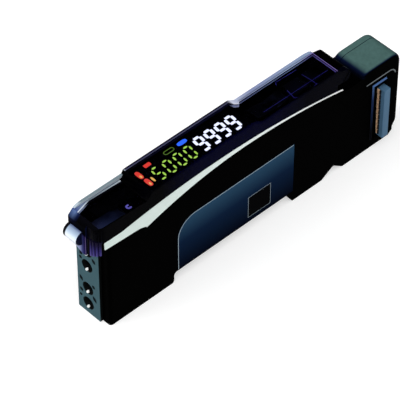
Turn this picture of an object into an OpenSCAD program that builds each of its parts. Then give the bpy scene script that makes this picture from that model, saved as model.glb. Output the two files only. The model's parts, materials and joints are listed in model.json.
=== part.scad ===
// Fibre optic sensor amplifier for a 35 mm rail.
// X runs from the fibre end to the connector end, the labelled side faces -Y, Z is up.
// The origin is the middle of the rail seat.

/* [Case] */
// Width across the flat sides
case_w = 10; // [9.6:0.1:12]
// Rail centre to the fibre face
front_len = 39; // [38.5:0.1:42]
// Rail centre to the connector end
rear_len = 54.8; // [54.3:0.1:58]
// Thickness of the moulded walls
wall = 1.1; // [0.9:0.05:1.3]
// Thickness of the far half shell, from its outer face to the parting line
lid_t = 2.1; // [1.9:0.05:2.3]
// Depth of the feet below the rail seat
foot_h = 3.1; // [2.8:0.1:3.6]
// Radius of the arched top edge of the side walls
arch_r = 200; // [170:5:260]
// Highest point of the arch, along X
arch_x = -4.5; // [-7:0.5:-2]
// Highest point of the arch, above the rail seat
arch_z = 26.9; // [26.6:0.1:27.1]
// Height of the flat front shelf of the side walls
shelf_z = 24.8; // [24.5:0.1:25.1]
// Depth of the recessed band along the shoulder
band_in = 0.3; // [0.2:0.05:0.4]
// Radius of the case's upright corners and of the rear block's rims
corner_r = 0.9; // [0.5:0.1:1]

/* [Shoulder band] */
// Highest point of the lower edge of the band, along X
band_x = 4; // [2:0.5:6]
// Highest point of the lower edge of the band, above the rail seat
band_z = 26.05; // [25.6:0.05:26.1]
// Radius of its front stretch
band_front_r = 100; // [95:1:110]
// Radius of its rear stretch
band_rear_r = 150; // [140:5:160]
// Where the front stretch meets the straight front end, along X
band_kink_x = -26.6; // [-27.5:0.1:-25.5]
// Height of the straight front end
band_front_z = 22.9; // [22.7:0.1:23.2]

/* [Rear block] */
// Front of the raised rear block
block_x = 41; // [40.5:0.1:42]
// Top of the rear block
block_z = 23.3; // [23:0.1:23.8]
// Radius of the block's front and rear top edges
block_r = 3.4; // [3:0.1:3.8]
// Floor of the valley between hinge and block
valley_z = 22; // [21.9:0.05:22.1]

/* [Rail] */
// Width of the mounting rail
rail_w = 35; // [34.8:0.1:35.2]
// Play between rail and hooks, at each end
rail_play = 0.05; // [0:0.01:0.1]
// Play under the rail's flange
rail_flange_gap = 1.3; // [1.2:0.05:1.4]
// How far each lip reaches under the rail
lip_reach = 1.2; // [0.9:0.1:1.3]
// Height of the lips
lip_h = 1.2; // [1:0.1:1.3]
// Width of the lips
lip_w = 5.4; // [5:0.1:5.6]

/* [Fibre block] */
// Outer diameter of a fibre lead
fibre_d = 2.2; // [2:0.05:2.3]
// Radial clearance round a fibre lead
fibre_gap = 0.1; // [0.05:0.01:0.12]
// Diameter of the funnel mouths
funnel_d = 3.5; // [3.3:0.1:3.7]
// Depth of the funnel mouths
funnel_h = 1.2; // [1:0.1:1.4]
// Sideways place of the fibre column
fibre_y = 1.55; // [1.4:0.05:1.7]
// Height of the middle of the fibre column
fibre_mid_z = 8.9; // [8.7:0.1:9.1]
// Spacing of the two channels
channel_pitch = 12.45; // [12.2:0.05:12.7]
// Spacing of the two fibres of one channel
fibre_pitch = 4.95; // [4.7:0.05:5.1]
// Thickness of the front face plate
face_t = 1.8; // [1.5:0.1:2]
// Near edge of the front face plate
face_edge_y = -2.4; // [-2.7:0.1:-2.1]
// Top of the front face plate
face_top_z = 22.4; // [22.2:0.1:22.8]
// Length of the guide block behind the plate
guide_len = 7.2; // [7:0.1:7.4]
// Thickness of the clamp plate
clamp_t = 1; // [0.8:0.1:1.2]

/* [Protective cover] */
// Half width of the cover
cover_half_w = 4.7; // [4.6:0.05:4.8]
// Thickness of the cover
cover_t = 0.8; // [0.7:0.05:0.9]
// Gap between cover and case
cover_gap = 0.15; // [0.1:0.05:0.25]
// Front face of the cover's lip, ahead of the fibre face
lip_out = 2.3; // [2.1:0.1:2.6]
// Height of the cover above the lock lever, at its front
cover_front_z = 29.8; // [29.4:0.1:30.2]
// Height of the cover where the display hood begins
cover_step_z = 29.1; // [28.9:0.1:29.3]
// Height of the display hood
hood_z = 31.5; // [31.3:0.1:32]
// Height of the cover over the keys
cover_rear_z = 29.8; // [29.6:0.1:30.2]
// Lowest point of the lip, in the middle of its two slanted lower edges
lip_low_z = 19.5; // [19.3:0.1:20.5]
// Slant of the lip's lower edges, in degrees
lip_slant = 22; // [16:1:24]
// How far the ribbed near part of the lip lies back
lip_step = 0.5; // [0.3:0.05:0.6]
// Where that part begins, across the case
lip_split = -1.1; // [-1.4:0.1:-0.8]
// Radius of its upright corner
lip_corner_r = 2.2; // [2:0.1:2.4]
// Radius of the finger tab
tab_r = 2.05; // [1.8:0.05:2.2]
// Near end of the finger tab
tab_y = 0.1; // [-0.2:0.1:0.6]
// Height of the finger tab's axis above the lowest point of the lip
tab_up = 4.9; // [4.6:0.1:5.4]
// Radius of the grip ribs
rib_r = 0.25; // [0.2:0.01:0.3]
// Spacing of the grip ribs
rib_pitch = 0.8; // [0.7:0.05:0.85]
// Number of grip ribs
rib_count = 5; // [3:1:5]

/* [Hinge] */
// Hinge axis, along X
hinge_x = 36; // [35.8:0.1:36.4]
// Hinge axis, above the rail seat
hinge_z = 26.6; // [26.4:0.1:27]
// Radius of the hinge ears and of the lug between them
ear_r = 1.9; // [1.7:0.05:2]
// Radius of the hinge stubs
stub_r = 0.9; // [0.7:0.05:1]
// Length of the hinge stubs
stub_len = 1.4; // [1:0.1:1.6]
// Radial clearance of the hinge stubs
stub_gap = 0.05; // [0.03:0.01:0.08]
// Gap between ears and lug
ear_gap = 0.2; // [0.15:0.05:0.3]

/* [Top panel and display] */
// Gap between panel and case walls
panel_gap = 0.2; // [0.15:0.01:0.25]
// Thickness of the panel
panel_t = 1; // [0.8:0.1:1.1]
// Fibre face to the front end of the panel
panel_inset = 8.8; // [8.7:0.1:9]
// Rear end of the panel
panel_x1 = 32.8; // [32.6:0.1:32.9]
// Level of the panel round the front key
panel_front_z = 26.2; // [26.1:0.1:26.5]
// Level of the panel round the rear keys
panel_rear_z = 26.8; // [26.7:0.1:27]
// Level of the display tower
tower_z = 29.85; // [29.5:0.05:29.9]
// Fibre face to the front end of the display tower
tower_inset = 15.4; // [15.2:0.1:15.6]
// Rear end of the display tower
tower_x1 = 6.8; // [6.5:0.1:6.9]
// Thickness of the display window
window_t = 0.6; // [0.4:0.05:0.6]
// Thickness of the circuit boards
board_t = 1; // [0.8:0.1:1.2]
// Underside of the display board
board_z = 21.6; // [21.5:0.05:21.7]

/* [Keys] */
// Travel of a key
key_travel = 0.25; // [0.2:0.01:0.3]
// How far the keys stand above the panel
key_h = 1; // [0.8:0.1:1.1]
// Side clearance of the keys in the panel
key_gap = 0.15; // [0.1:0.01:0.2]
// Rim that holds each key under the panel
key_rim = 0.4; // [0.3:0.05:0.45]
// Thickness of that rim
key_rim_t = 0.5; // [0.4:0.05:0.6]
// Radius of the round front key
tune_r = 1.9; // [1.7:0.05:2]
// Fibre face to the middle of the round front key
tune_inset = 12; // [11.9:0.1:12.2]
// Width of the rear keys across the case
key_w = 4; // [3.6:0.1:4.2]
// Length of the two-way rocker
rocker_len = 9.6; // [9:0.1:10]
// Middle of the rocker
rocker_x = 15.6; // [15.4:0.1:15.8]
// Length of the mode key
mode_len = 4.6; // [4.4:0.1:4.8]
// Middle of the mode key
mode_x = 24.4; // [24.3:0.1:24.6]
// Length of the select key
select_len = 3.6; // [3.4:0.1:3.7]
// Middle of the select key
select_x = 29.8; // [29.6:0.1:29.8]
// Radius of the rocker's trunnions
trunnion_r = 0.5; // [0.4:0.05:0.6]

/* [Connectors and label] */
// Connector end to the middle of the connectors
plug_inset = 6.2; // [6:0.1:6.5]
// Lower end of the connectors
plug_z0 = 0.1; // [0:0.1:0.4]
// Upper end of the connectors
plug_z1 = 15.6; // [15.3:0.1:16]
// Thickness of the plug's blade
plug_t = 2; // [1.8:0.1:2.2]
// How far the plug stands out of the case
plug_out = 2; // [1.8:0.1:2.2]
// Tip of the plug to the ends of its contacts
contact_inset = 1.1; // [0.8:0.1:1.3]
// How far the collar round the plug stands out of the case
collar_out = 0.6; // [0.4:0.1:0.8]
// Thickness of the collar
collar_t = 0.45; // [0.4:0.05:0.6]
// Number of contacts
contact_count = 9; // [6:1:10]
// Thickness of the contacts
contact_t = 0.3; // [0.2:0.05:0.35]
// Play of the next unit's collar in the socket
socket_play = 0.15; // [0.1:0.01:0.2]
// Depth of the socket
socket_depth = 2.6; // [2.4:0.1:2.8]
// Thickness of the socket's walls
socket_wall = 0.8; // [0.7:0.05:0.9]
// Front end of the label
label_x0 = -17.3; // [-17.4:0.1:-16]
// Rear end of the label
label_x1 = 19.6; // [18:0.1:19.8]
// Lower edge of the label
label_z0 = 0.25; // [0.2:0.05:0.6]
// Upper edge of the label
label_z1 = 15.8; // [15:0.1:16.2]
// Radius of the label's upper front corner
label_r = 5.5; // [4.5:0.1:6.5]
// Thickness of the label
label_t = 0.12; // [0.1:0.01:0.2]

/* [Hidden] */
$fn = 48;
fine = 360;      // facets of the large arcs
past = 1;        // how far a cut runs past a face
half_w = case_w / 2;
seam_y = half_w - lid_t;
in_y = half_w - wall;
band_y = half_w - band_in;
slot_x = rail_w / 2 + rail_play;
hook_back = 0.9;                 // room behind the rail's front edge
shell_front = -front_len + 0.75; // front of the case beside the face plate
face_back = -front_len + face_t;
bay_x0 = face_back + 0.1;
foot_x0 = -slot_x - hook_back - wall;
deck_z = wall + 0.1;             // inner floor above the rail seat
panel_x0 = panel_inset - front_len;
tower_x0 = tower_inset - front_len;
tune_x = tune_inset - front_len;
plug_x = rear_len - plug_inset;
open_x1 = panel_x1 + panel_gap;  // rear end of the top opening
open_z = arch_z + 2 * past;
rear_bay_x1 = rear_len - wall;
rear_bay_z1 = valley_z - wall;
bore_r = fibre_d / 2 + fibre_gap;
guide_x1 = face_back + guide_len;
fibre_z = [for (c = [1, -1], f = [1, -1]) fibre_mid_z + c * channel_pitch / 2 + f * fibre_pitch / 2];
clamp_x0 = -front_len + 4.4;
clamp_gap = 0.05;
clamp_half_w = 1.7;
clamp_foot = 2;                  // how far the clamp reaches below the lowest fibre
clamp_seat = 0.2;                // gap between the clamp and the floor of the front bay
bay_floor_z = fibre_z[3] - clamp_foot - clamp_seat;
guide_top_z = fibre_z[0] + 2.6;
guide_near = 2.3;                // guide block towards the labelled side
guide_gap = 0.1;
lever_low_z = board_z + 0.4;     // underside of the lever's cam, on top of the clamp
board_top = board_z + board_t;
board_half_w = in_y - 0.3;
ledge_w = 0.7;
ledge_h = 0.8;
panel_half_w = in_y - panel_gap;
skirt_y = panel_half_w - panel_t;
panel_end_t = panel_t / 2;       // end walls of the panel
main_board_y = -in_y + 0.5;      // near face of the main board
chip_y = main_board_y + board_t;
key_bottom_front = panel_front_z - panel_t - 0.1 - key_rim_t;
key_bottom_rear = panel_rear_z - panel_t - 0.1 - key_rim_t;
press_room = key_travel + 0.15;  // room between a key and its switch
rocker_z = key_bottom_rear + 0.1;
rocker_lift = 0.3;               // extra room above the rocker's rim
lug_y = seam_y;
ear_y0 = lug_y + ear_gap;
cover_in_y = cover_half_w - cover_t;
lip_x = -front_len - lip_out;
rib_x = lip_x + lip_step;        // front of the lip's ribbed part
lip_corner = [rib_x + lip_corner_r, -cover_half_w + lip_corner_r];
rib_first = 0.35;                // first rib beyond the step
rib_flat = lip_split - lip_corner[1]; // ribs this far from the step stand before the round corner
face_room = 0.6;                 // room between the lip and the fibre face
plug_near_x = plug_x - plug_t / 2;
plug_seat_gap = 0.1;
// Lower and upper corner of the collar round the plug, seen from the side
collar = [[plug_near_x - 2.2, plug_z0 - 0.4], [plug_near_x + plug_t + 0.35, plug_z1 + 2]];
plug_rim = 0.9;                  // rim of the plug's base behind the wall
// Lower and upper corner of the socket's mouth
mouth = [collar[0] - [socket_play, socket_play], collar[1] + [socket_play, socket_play]];
socket_fit = 0.05;
contact_pitch = (plug_z1 - plug_z0) / (contact_count + 0.5);
lever_x = -front_len + 6.8;      // axis of the lock lever
lever_z = board_z + 2;
lever_top_z = 27.4;
lever_stub_r = 0.8;
lever_reach = 6.2;               // thumb plate ahead of the axis
lever_back = 1.5;                // cam behind the axis
lever_edge = 0.4;
thumb_r = 3.1;                   // hollow for the thumb
emitter_r = 1.45;
emitter_len = 2.8;
emitter_rim = [1.75, 0.8];       // radius and thickness
receiver_w = 3.2;
receiver_t = 2.2;
receiver_lens = [1.2, 0.8];      // radius and thickness
lead_t = 0.4;                    // leads of emitters and receivers
lead_pitch = 0.8;
light_w = 0.7;                   // light guides beside the display
light_len = 1.6;
light_x = tower_x0 + 2.1;
light_y = [-1.3, 1.5];
display_split = -6.5;            // between the two displays
display_front = tower_x0 + 3.2;
display_gap = 0.2;
post_r = 1.2;                    // posts behind the main board
post_z = 10;
post_x = [-20, 10, plug_near_x - 6.95];
link_x = [-10, 4];               // pin header between the boards
link_h = 2.8;
link_t = 2.2;
chip_t = 1.4;
// Corner, length and height of each flat chip
chips = [[-9, 5, 9, 9], [-20, 11, 6, 5], [-20, 4, 5, 4], [8, 6, 5, 5]];
// Corner, length, height and thickness of the regulator
regulator = [18, 4, 7, 7, 2.6];
// Middle, radius and length of the storage capacitor
capacitor = [33, 9, 2.6, 4.2];
switch_w = 3;                    // press switches
switch_plunger = [0.75, 0.4];    // radius and height above the body
lever_half_w = in_y - 0.5;

// An outline in X and Z, carried across the case from y0 to y1.
module slab(y0, y1) {
    translate([0, y1, 0]) rotate([90, 0, 0]) linear_extrude(y1 - y0) children();
}

// A box given by its two corners.
module box(low, high) {
    translate(low) cube(high - low);
}

// A rectangle given by two corners, with all four corners round.
module soft_rect(x0, y0, x1, y1, r) {
    translate([x0 + r, y0]) square([x1 - x0 - 2 * r, y1 - y0]);
    translate([x0, y0 + r]) square([x1 - x0, y1 - y0 - 2 * r]);
    for (x = [x0 + r, x1 - r], y = [y0 + r, y1 - r]) translate([x, y]) circle(r);
}

// A rod along X.
module rod_x(x0, x1, y, z, r) {
    translate([x0, y, z]) rotate([0, 90, 0]) cylinder(h = x1 - x0, r = r);
}

// A rod along Y.
module rod_y(y0, y1, x, z, r) {
    translate([x, y1, z]) rotate([90, 0, 0]) cylinder(h = y1 - y0, r = r);
}

// Everything under the arched top edge of the side walls.
module under_arch(lift) {
    translate([arch_x, arch_z - arch_r + lift]) circle(arch_r, $fn = fine);
}

// The side view behind the hinge, up to the valley and to the start of the block's round rear edge.
module rear_outline() {
    translate([hinge_x - past, -foot_h]) square([rear_len - hinge_x + past, block_z - block_r + foot_h]);
    translate([hinge_x - past, -foot_h]) square([block_x + block_r - hinge_x + past, valley_z + foot_h]);
}

// A roller across the case with round rims, which forms the block's front or rear top edge.
module block_roller(x) {
    translate([x, 0, block_z - block_r]) rotate([90, 0, 0]) rotate_extrude($fn = 96) intersection() {
        soft_rect(-block_r, -half_w, block_r, half_w, corner_r);
        translate([0, -half_w]) square([block_r, case_w]);
    }
}

// The top of the raised block at the connector end.
module rear_block() {
    x0 = block_x + block_r;
    x1 = rear_len - block_r;
    for (x = [x0, x1]) block_roller(x);
    translate([x0, 0, 0]) rotate([90, 0, 90]) linear_extrude(x1 - x0)
        soft_rect(-half_w, block_z - block_r - 2 * corner_r, half_w, block_z, corner_r);
}

// The gap between the hooks: a round corner at the fixed hook, a slanted face at the sprung one.
module slot_outline() {
    polygon([[-slot_x, 0], [slot_x, 0], [slot_x + 1.15, -1.85], [slot_x + 2, -foot_h],
        [slot_x + 2, -foot_h - past], [-slot_x - hook_back - 0.5, -foot_h - past],
        [-slot_x - hook_back - 0.5, -foot_h], [-slot_x - hook_back, -foot_h + 0.6],
        [-slot_x - hook_back, -hook_back], [-slot_x, -hook_back]]);
    translate([-slot_x, -hook_back]) circle(hook_back);
}

// The notch behind the sprung hook, and the stepped lower corner of the connector end.
module notch_outline() {
    polygon([[slot_x + 11.5, -foot_h - past], [slot_x + 11.7, -foot_h], [slot_x + 15.3, -foot_h + 2.2],
        [slot_x + 15.8, -foot_h + 2.2], [slot_x + 18.7, -foot_h], [slot_x + 18.9, -foot_h - past]]);
    polygon([[rear_len - 2.8, -foot_h], [rear_len - 1.5, -foot_h + 1.1], [rear_len - 1.5, -foot_h + 2.2],
        [rear_len, -foot_h + 4.6], [rear_len + past, -foot_h + 4.6], [rear_len + past, -foot_h - past],
        [rear_len - 2.8, -foot_h - past]]);
}

// The side view of the case.
module case_outline() {
    difference() {
        union() {
            intersection() {
                under_arch(0);
                translate([shell_front, -foot_h]) square([hinge_x - shell_front, arch_z + foot_h]);
            }
            translate([shell_front, -foot_h]) square([arch_x - shell_front - 12, shelf_z + foot_h]);
            rear_outline();
        }
        slot_outline();
        notch_outline();
    }
}

// The part of the side view below the shoulder band.
module below_band() {
    intersection() {
        translate([band_x, band_z - band_front_r]) circle(band_front_r, $fn = fine);
        translate([band_kink_x, -foot_h - past]) square([band_x - band_kink_x, band_z + foot_h + past]);
    }
    intersection() {
        translate([band_x, band_z - band_rear_r]) circle(band_rear_r, $fn = fine);
        translate([band_x, -foot_h - past]) square([hinge_x - band_x, band_z + foot_h + past]);
    }
    polygon([[shell_front - past, -foot_h - past], [shell_front - past, band_front_z],
        [band_kink_x - 2.1, band_front_z - 0.6], [band_kink_x, band_front_z - 1.3],
        [band_kink_x, -foot_h - past]]);
    translate([hinge_x, -foot_h - past]) square([rear_len - hinge_x + past, block_z + foot_h + 2 * past]);
}

// The whole outside of the case, before it is parted.
module case_body() {
    intersection() {
        union() {
            slab(-band_y, band_y) case_outline();
            slab(-half_w, half_w) intersection() {
                case_outline();
                below_band();
            }
        }
        translate([0, 0, -foot_h - past]) linear_extrude(arch_z + foot_h + 2 * past)
            soft_rect(shell_front, -half_w, rear_len, half_w, corner_r);
    }
    rear_block();
}

// The hollow of the case, seen from the side: front bay, deck over the rail, rear bay.
module hollow_outline() {
    translate([bay_x0, bay_floor_z]) square([foot_x0 - bay_x0, open_z - bay_floor_z]);
    translate([foot_x0 - past, deck_z]) square([open_x1 - foot_x0 + past, open_z - deck_z]);
    translate([open_x1 - past, deck_z]) square([rear_bay_x1 - open_x1 + past, rear_bay_z1 - deck_z]);
}

// The opening in the front of the case that the face plate closes.
module face_opening() {
    box([-front_len - past, face_edge_y, -foot_h - past], [face_back, half_w + past, face_top_z]);
    box([face_back - past, -skirt_y, bay_floor_z], [bay_x0 + past, in_y, face_top_z]);
}

// Ledge under one long edge of the display board.
module board_ledge(y0, y1) {
    box([panel_x0, y0, board_z - ledge_h], [open_x1, y1, board_z]);
}

// Outline of the foil label, with one round corner.
module label_outline(grow) {
    x0 = label_x0 - grow;
    z1 = label_z1 + grow;
    translate([x0, label_z0 - grow]) square([label_x1 - label_x0 + 2 * grow, z1 - label_r - label_z0 + grow]);
    translate([x0 + label_r, label_z0 - grow])
        square([label_x1 + grow - x0 - label_r, z1 - label_z0 + grow]);
    translate([x0 + label_r, z1 - label_r]) circle(label_r);
}

// Lips that hold the rail: a square one on the fixed hook, a slanted one on the sprung hook.
module rail_lips() {
    slab(-lip_w / 2, lip_w / 2) {
        translate([-slot_x - hook_back - past, -rail_flange_gap - lip_h])
            square([hook_back + past + lip_reach, lip_h]);
        polygon([[slot_x - lip_reach, -rail_flange_gap], [slot_x + 2, -rail_flange_gap],
            [slot_x + 2.6, -rail_flange_gap - lip_h], [slot_x - lip_reach + 0.9, -rail_flange_gap - lip_h]]);
    }
}

// Lug between the cover's ears, with a blind bore at each end for the cover's stubs.
module hinge_lug() {
    slab(-lug_y, lug_y) {
        translate([hinge_x, hinge_z]) circle(ear_r);
        translate([hinge_x - ear_r, valley_z - wall]) square([2 * ear_r, hinge_z - valley_z + wall]);
    }
}

module stub_bores() {
    for (s = [-1, 1])
        rod_y(min(s * lug_y, s * (lug_y - stub_len - ear_gap)) - (s < 0 ? past : 0),
            max(s * lug_y, s * (lug_y - stub_len - ear_gap)) + (s > 0 ? past : 0),
            hinge_x, hinge_z, stub_r + stub_gap);
}

module lever_bores() {
    rod_y(-in_y - 0.5, in_y + 0.5, lever_x, lever_z, lever_stub_r + stub_gap);
}

// Outside of the socket, grown by gap, ending past the case's side by reach.
module socket_block(reach, gap) {
    edge = socket_wall + gap;
    box([mouth[0][0] - edge, half_w - socket_depth - edge, mouth[0][1] - edge],
        [mouth[1][0] + edge, half_w + past + reach, mouth[1][1] + edge]);
}

// Raised collar round the plug, on the labelled side.
module plug_collar() {
    slab(-half_w - collar_out, -half_w + wall / 2) difference() {
        translate(collar[0]) square(collar[1] - collar[0]);
        translate(collar[0] + [collar_t, collar_t]) square(collar[1] - collar[0] - 2 * [collar_t, collar_t]);
    }
}

// Near half shell: the labelled side, the hooks, the hinge lug, the plug's window and its collar.
module main_case() {
    color([0.06, 0.06, 0.07]) union() {
        difference() {
            union() {
                intersection() {
                    case_body();
                    box([-front_len, -half_w - past, -foot_h - past], [rear_len + past, seam_y, arch_z + past]);
                }
                hinge_lug();
                rail_lips();
                plug_collar();
            }
            slab(-in_y, seam_y + past) hollow_outline();
            face_opening();
            stub_bores();
            lever_bores();
            slab(-half_w - past, -half_w + label_t + 0.03) label_outline(0.1);
            socket_block(0, socket_fit);
            box([plug_near_x - contact_t - plug_seat_gap, -half_w - past, plug_z0 - plug_seat_gap],
                [plug_x + plug_t / 2 + plug_seat_gap, -in_y + past, plug_z1 + plug_seat_gap]);
        }
        board_ledge(-in_y, -in_y + ledge_w);
        for (x = post_x) rod_y(-in_y, main_board_y, x, post_z, post_r);
    }
}

// Far half shell, with the socket's window.
module side_lid() {
    color([0.06, 0.06, 0.07]) union() {
        difference() {
            intersection() {
                case_body();
                box([-front_len, seam_y, -foot_h - past], [rear_len + past, half_w + past, arch_z + past]);
            }
            slab(seam_y - past, in_y) hollow_outline();
            face_opening();
            lever_bores();
            socket_block(0, socket_fit);
        }
        board_ledge(in_y - ledge_w, in_y);
    }
}

// Front face plate and guide block, with four funnel-mouthed fibre bores and the clamp's slot.
module fibre_block() {
    color([0.27, 0.37, 0.40]) difference() {
        union() {
            box([-front_len, face_edge_y, -foot_h], [face_back, half_w, face_top_z]);
            box([face_back - past, fibre_y - guide_near, bay_floor_z + guide_gap], [guide_x1, in_y - guide_gap, guide_top_z]);
        }
        for (z = fibre_z) {
            rod_x(-front_len - past, guide_x1 + past, fibre_y, z, bore_r);
            translate([-front_len, fibre_y, z]) rotate([0, 90, 0])
                cylinder(h = funnel_h, r1 = funnel_d / 2, r2 = bore_r);
        }
        box([clamp_x0 - clamp_gap, fibre_y - clamp_half_w - clamp_gap, fibre_z[3] - clamp_foot - clamp_gap],
            [clamp_x0 + clamp_t + clamp_gap, fibre_y + clamp_half_w + clamp_gap, guide_top_z + past]);
    }
}

// Plate that grips the fibres when the lever pushes it, with one hole for each fibre.
module fibre_clamp() {
    color([0.75, 0.74, 0.7]) difference() {
        box([clamp_x0, fibre_y - clamp_half_w, fibre_z[3] - clamp_foot],
            [clamp_x0 + clamp_t, fibre_y + clamp_half_w, lever_low_z]);
        for (z = fibre_z) rod_x(clamp_x0 - past, clamp_x0 + clamp_t + past, fibre_y, z, bore_r + 0.15);
    }
}

// Lever that locks the fibres: thumb plate, cam and two side stubs.
module lock_lever() {
    color([0.1, 0.1, 0.12]) {
        slab(-lever_half_w, lever_half_w) difference() {
            polygon([[lever_x - lever_reach, shelf_z + lever_edge],
                [lever_x - lever_reach + lever_edge / 2, shelf_z + lever_reach / 5],
                [lever_x - lever_stub_r, lever_top_z], [lever_x + lever_back - lever_edge, lever_top_z],
                [lever_x + lever_back, lever_top_z - lever_edge],
                [lever_x + lever_back, lever_low_z + lever_stub_r], [lever_x + lever_stub_r, lever_low_z],
                [clamp_x0 - lever_edge / 2, lever_low_z], [clamp_x0 - lever_edge, shelf_z - lever_edge],
                [lever_x - lever_reach * 0.8, shelf_z + lever_edge / 2]]);
            translate([lever_x - thumb_r, lever_top_z + 0.8 * thumb_r]) circle(thumb_r);
        }
        rod_y(-in_y - 0.4, in_y + 0.4, lever_x, lever_z, lever_stub_r);
    }
}

// A lead from the main board to y1.
module lead(x, y1, z) {
    box([x - lead_t / 2, chip_y, z - lead_t / 2], [x + lead_t / 2, y1, z + lead_t / 2]);
}

// Two light emitters behind the upper fibre of each channel, with their leads to the board.
module light_emitters() {
    color([0.85, 0.3, 0.25]) for (z = [fibre_z[0], fibre_z[2]]) {
        rod_x(guide_x1, guide_x1 + emitter_len, fibre_y, z, emitter_r);
        rod_x(guide_x1 + emitter_len, guide_x1 + emitter_len + emitter_rim[1], fibre_y, z, emitter_rim[0]);
        for (s = [-1, 1])
            lead(guide_x1 + emitter_len + emitter_rim[1] / 2, fibre_y, z + s * lead_pitch);
    }
}

// Two light receivers behind the lower fibre of each channel, with their leads to the board.
module light_receivers() {
    color([0.15, 0.15, 0.2]) for (z = [fibre_z[1], fibre_z[3]]) {
        rod_x(guide_x1, guide_x1 + receiver_lens[1], fibre_y, z, receiver_lens[0]);
        box([guide_x1 + receiver_lens[1], fibre_y - receiver_w / 2, z - receiver_w / 2],
            [guide_x1 + receiver_lens[1] + receiver_t, fibre_y + receiver_w / 2, z + receiver_w / 2]);
        for (s = [-1, 0, 1])
            lead(guide_x1 + receiver_lens[1] + receiver_t / 2, fibre_y - receiver_w / 2, z + s * lead_pitch);
    }
}

// Upright board along the labelled side.
module main_board() {
    color([0.1, 0.35, 0.2])
        box([guide_x1 + 1.2, main_board_y, deck_z + 0.1], [rear_bay_x1 - 0.7, chip_y, board_z - ledge_h - 0.2]);
}

// Processor, converters, regulator and storage capacitor on the main board.
module circuit_chips() {
    color([0.12, 0.12, 0.13]) {
        for (c = chips) translate([c[0], chip_y, c[1]]) cube([c[2], chip_t, c[3]]);
        translate([regulator[0], chip_y, regulator[1]]) cube([regulator[2], regulator[4], regulator[3]]);
        rod_y(chip_y, chip_y + capacitor[3], capacitor[0], capacitor[1], capacitor[2]);
    }
}

// Pin header from the main board to the display board.
module board_link() {
    color([0.15, 0.15, 0.15]) box([link_x[0], chip_y, board_z - link_h], [link_x[1], chip_y + link_t, board_z]);
}

// Flat board under the display and the keys.
module display_board() {
    color([0.1, 0.35, 0.2])
        box([panel_x0 + 0.4, -board_half_w, board_z], [panel_x1, board_half_w, board_top]);
}

// One display module, from x0 to x1.
module display_module(x0, x1) {
    box([x0, -skirt_y + display_gap, board_top], [x1, skirt_y - display_gap, tower_z - display_gap]);
}

module left_display() {
    color([0.2, 0.3, 0.15]) display_module(display_front, display_split - display_gap / 2);
}

module right_display() {
    color([0.8, 0.8, 0.8]) display_module(display_split + display_gap / 2, tower_x1 - panel_t - display_gap);
}

// Two light guides at the front end of the display.
module indicator_lights() {
    color([0.8, 0.2, 0.15]) for (y = light_y)
        translate([light_x, y, board_top]) linear_extrude(tower_z - display_gap - board_top) {
            square([light_w, light_len], center = true);
            for (s = [-1, 1]) translate([0, s * light_len / 2]) circle(light_w / 2);
        }
}

// A hole in the panel for a rear key of the given length.
module key_hole(x, length) {
    box([x - length / 2 - key_gap, -key_w / 2 - key_gap, panel_rear_z - panel_t - past],
        [x + length / 2 + key_gap, key_w / 2 + key_gap, panel_rear_z + past]);
}

// Black top panel: display tower, key openings and the skirt that rests on the display board.
module top_panel() {
    color([0.03, 0.03, 0.04]) difference() {
        slab(-panel_half_w, panel_half_w)
            polygon([[panel_x0, board_top], [panel_x0, panel_front_z], [tower_x0 - 0.9, panel_front_z],
                [tower_x0, tower_z], [tower_x1, tower_z], [tower_x1 + 1.1, panel_rear_z],
                [panel_x1, panel_rear_z], [panel_x1, board_top]]);
        slab(-skirt_y, skirt_y) {
            translate([panel_x0 + panel_end_t, board_top - past])
                square([tower_x0 + panel_t - panel_x0, panel_front_z - panel_t - board_top + past]);
            translate([tower_x0 + panel_t, board_top - past])
                square([tower_x1 - tower_x0 - 2 * panel_t, tower_z - board_top + 2 * past]);
            translate([tower_x1 - 2 * panel_t, board_top - past])
                square([panel_x1 - panel_end_t - tower_x1 + 2 * panel_t, panel_rear_z - panel_t - board_top + past]);
        }
        translate([tune_x, 0, panel_front_z - panel_t - past])
            cylinder(h = panel_t + 2 * past, r = tune_r + key_gap);
        key_hole(rocker_x, rocker_len);
        key_hole(mode_x, mode_len);
        key_hole(select_x, select_len);
        rod_y(-skirt_y - 0.4, skirt_y + 0.4, rocker_x, rocker_z, trunnion_r + stub_gap);
    }
}

// Dark window over the display tower.
module display_window() {
    color([0.05, 0.05, 0.08, 0.6])
        translate([0, 0, tower_z]) linear_extrude(window_t)
            soft_rect(tower_x0 + 0.2, -panel_half_w + 0.1, tower_x1 - 0.2, panel_half_w - 0.1, 0.5);
}

// One press switch under a key, with its plunger.
module press_switch(x, key_bottom) {
    box([x - switch_w / 2, -switch_w / 2, board_top],
        [x + switch_w / 2, switch_w / 2, key_bottom - press_room - switch_plunger[1]]);
    translate([x, 0, board_top]) cylinder(h = key_bottom - press_room - board_top, r = switch_plunger[0]);
}

module tactile_switches() {
    color([0.7, 0.7, 0.72]) {
        press_switch(tune_x, key_bottom_front);
        for (s = [-1, 1]) press_switch(rocker_x + s * (rocker_len - switch_w) / 2, key_bottom_rear);
        press_switch(mode_x, key_bottom_rear);
        press_switch(select_x, key_bottom_rear);
    }
}

module tune_key() {
    color([0.12, 0.12, 0.14]) translate([tune_x, 0, key_bottom_front]) difference() {
        union() {
            cylinder(h = key_rim_t, r = tune_r + key_rim);
            cylinder(h = panel_front_z + key_h - key_bottom_front, r = tune_r);
        }
        translate([0, 0, panel_front_z + key_h - key_bottom_front + 7.8]) sphere(8, $fn = 96);
    }
}

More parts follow.
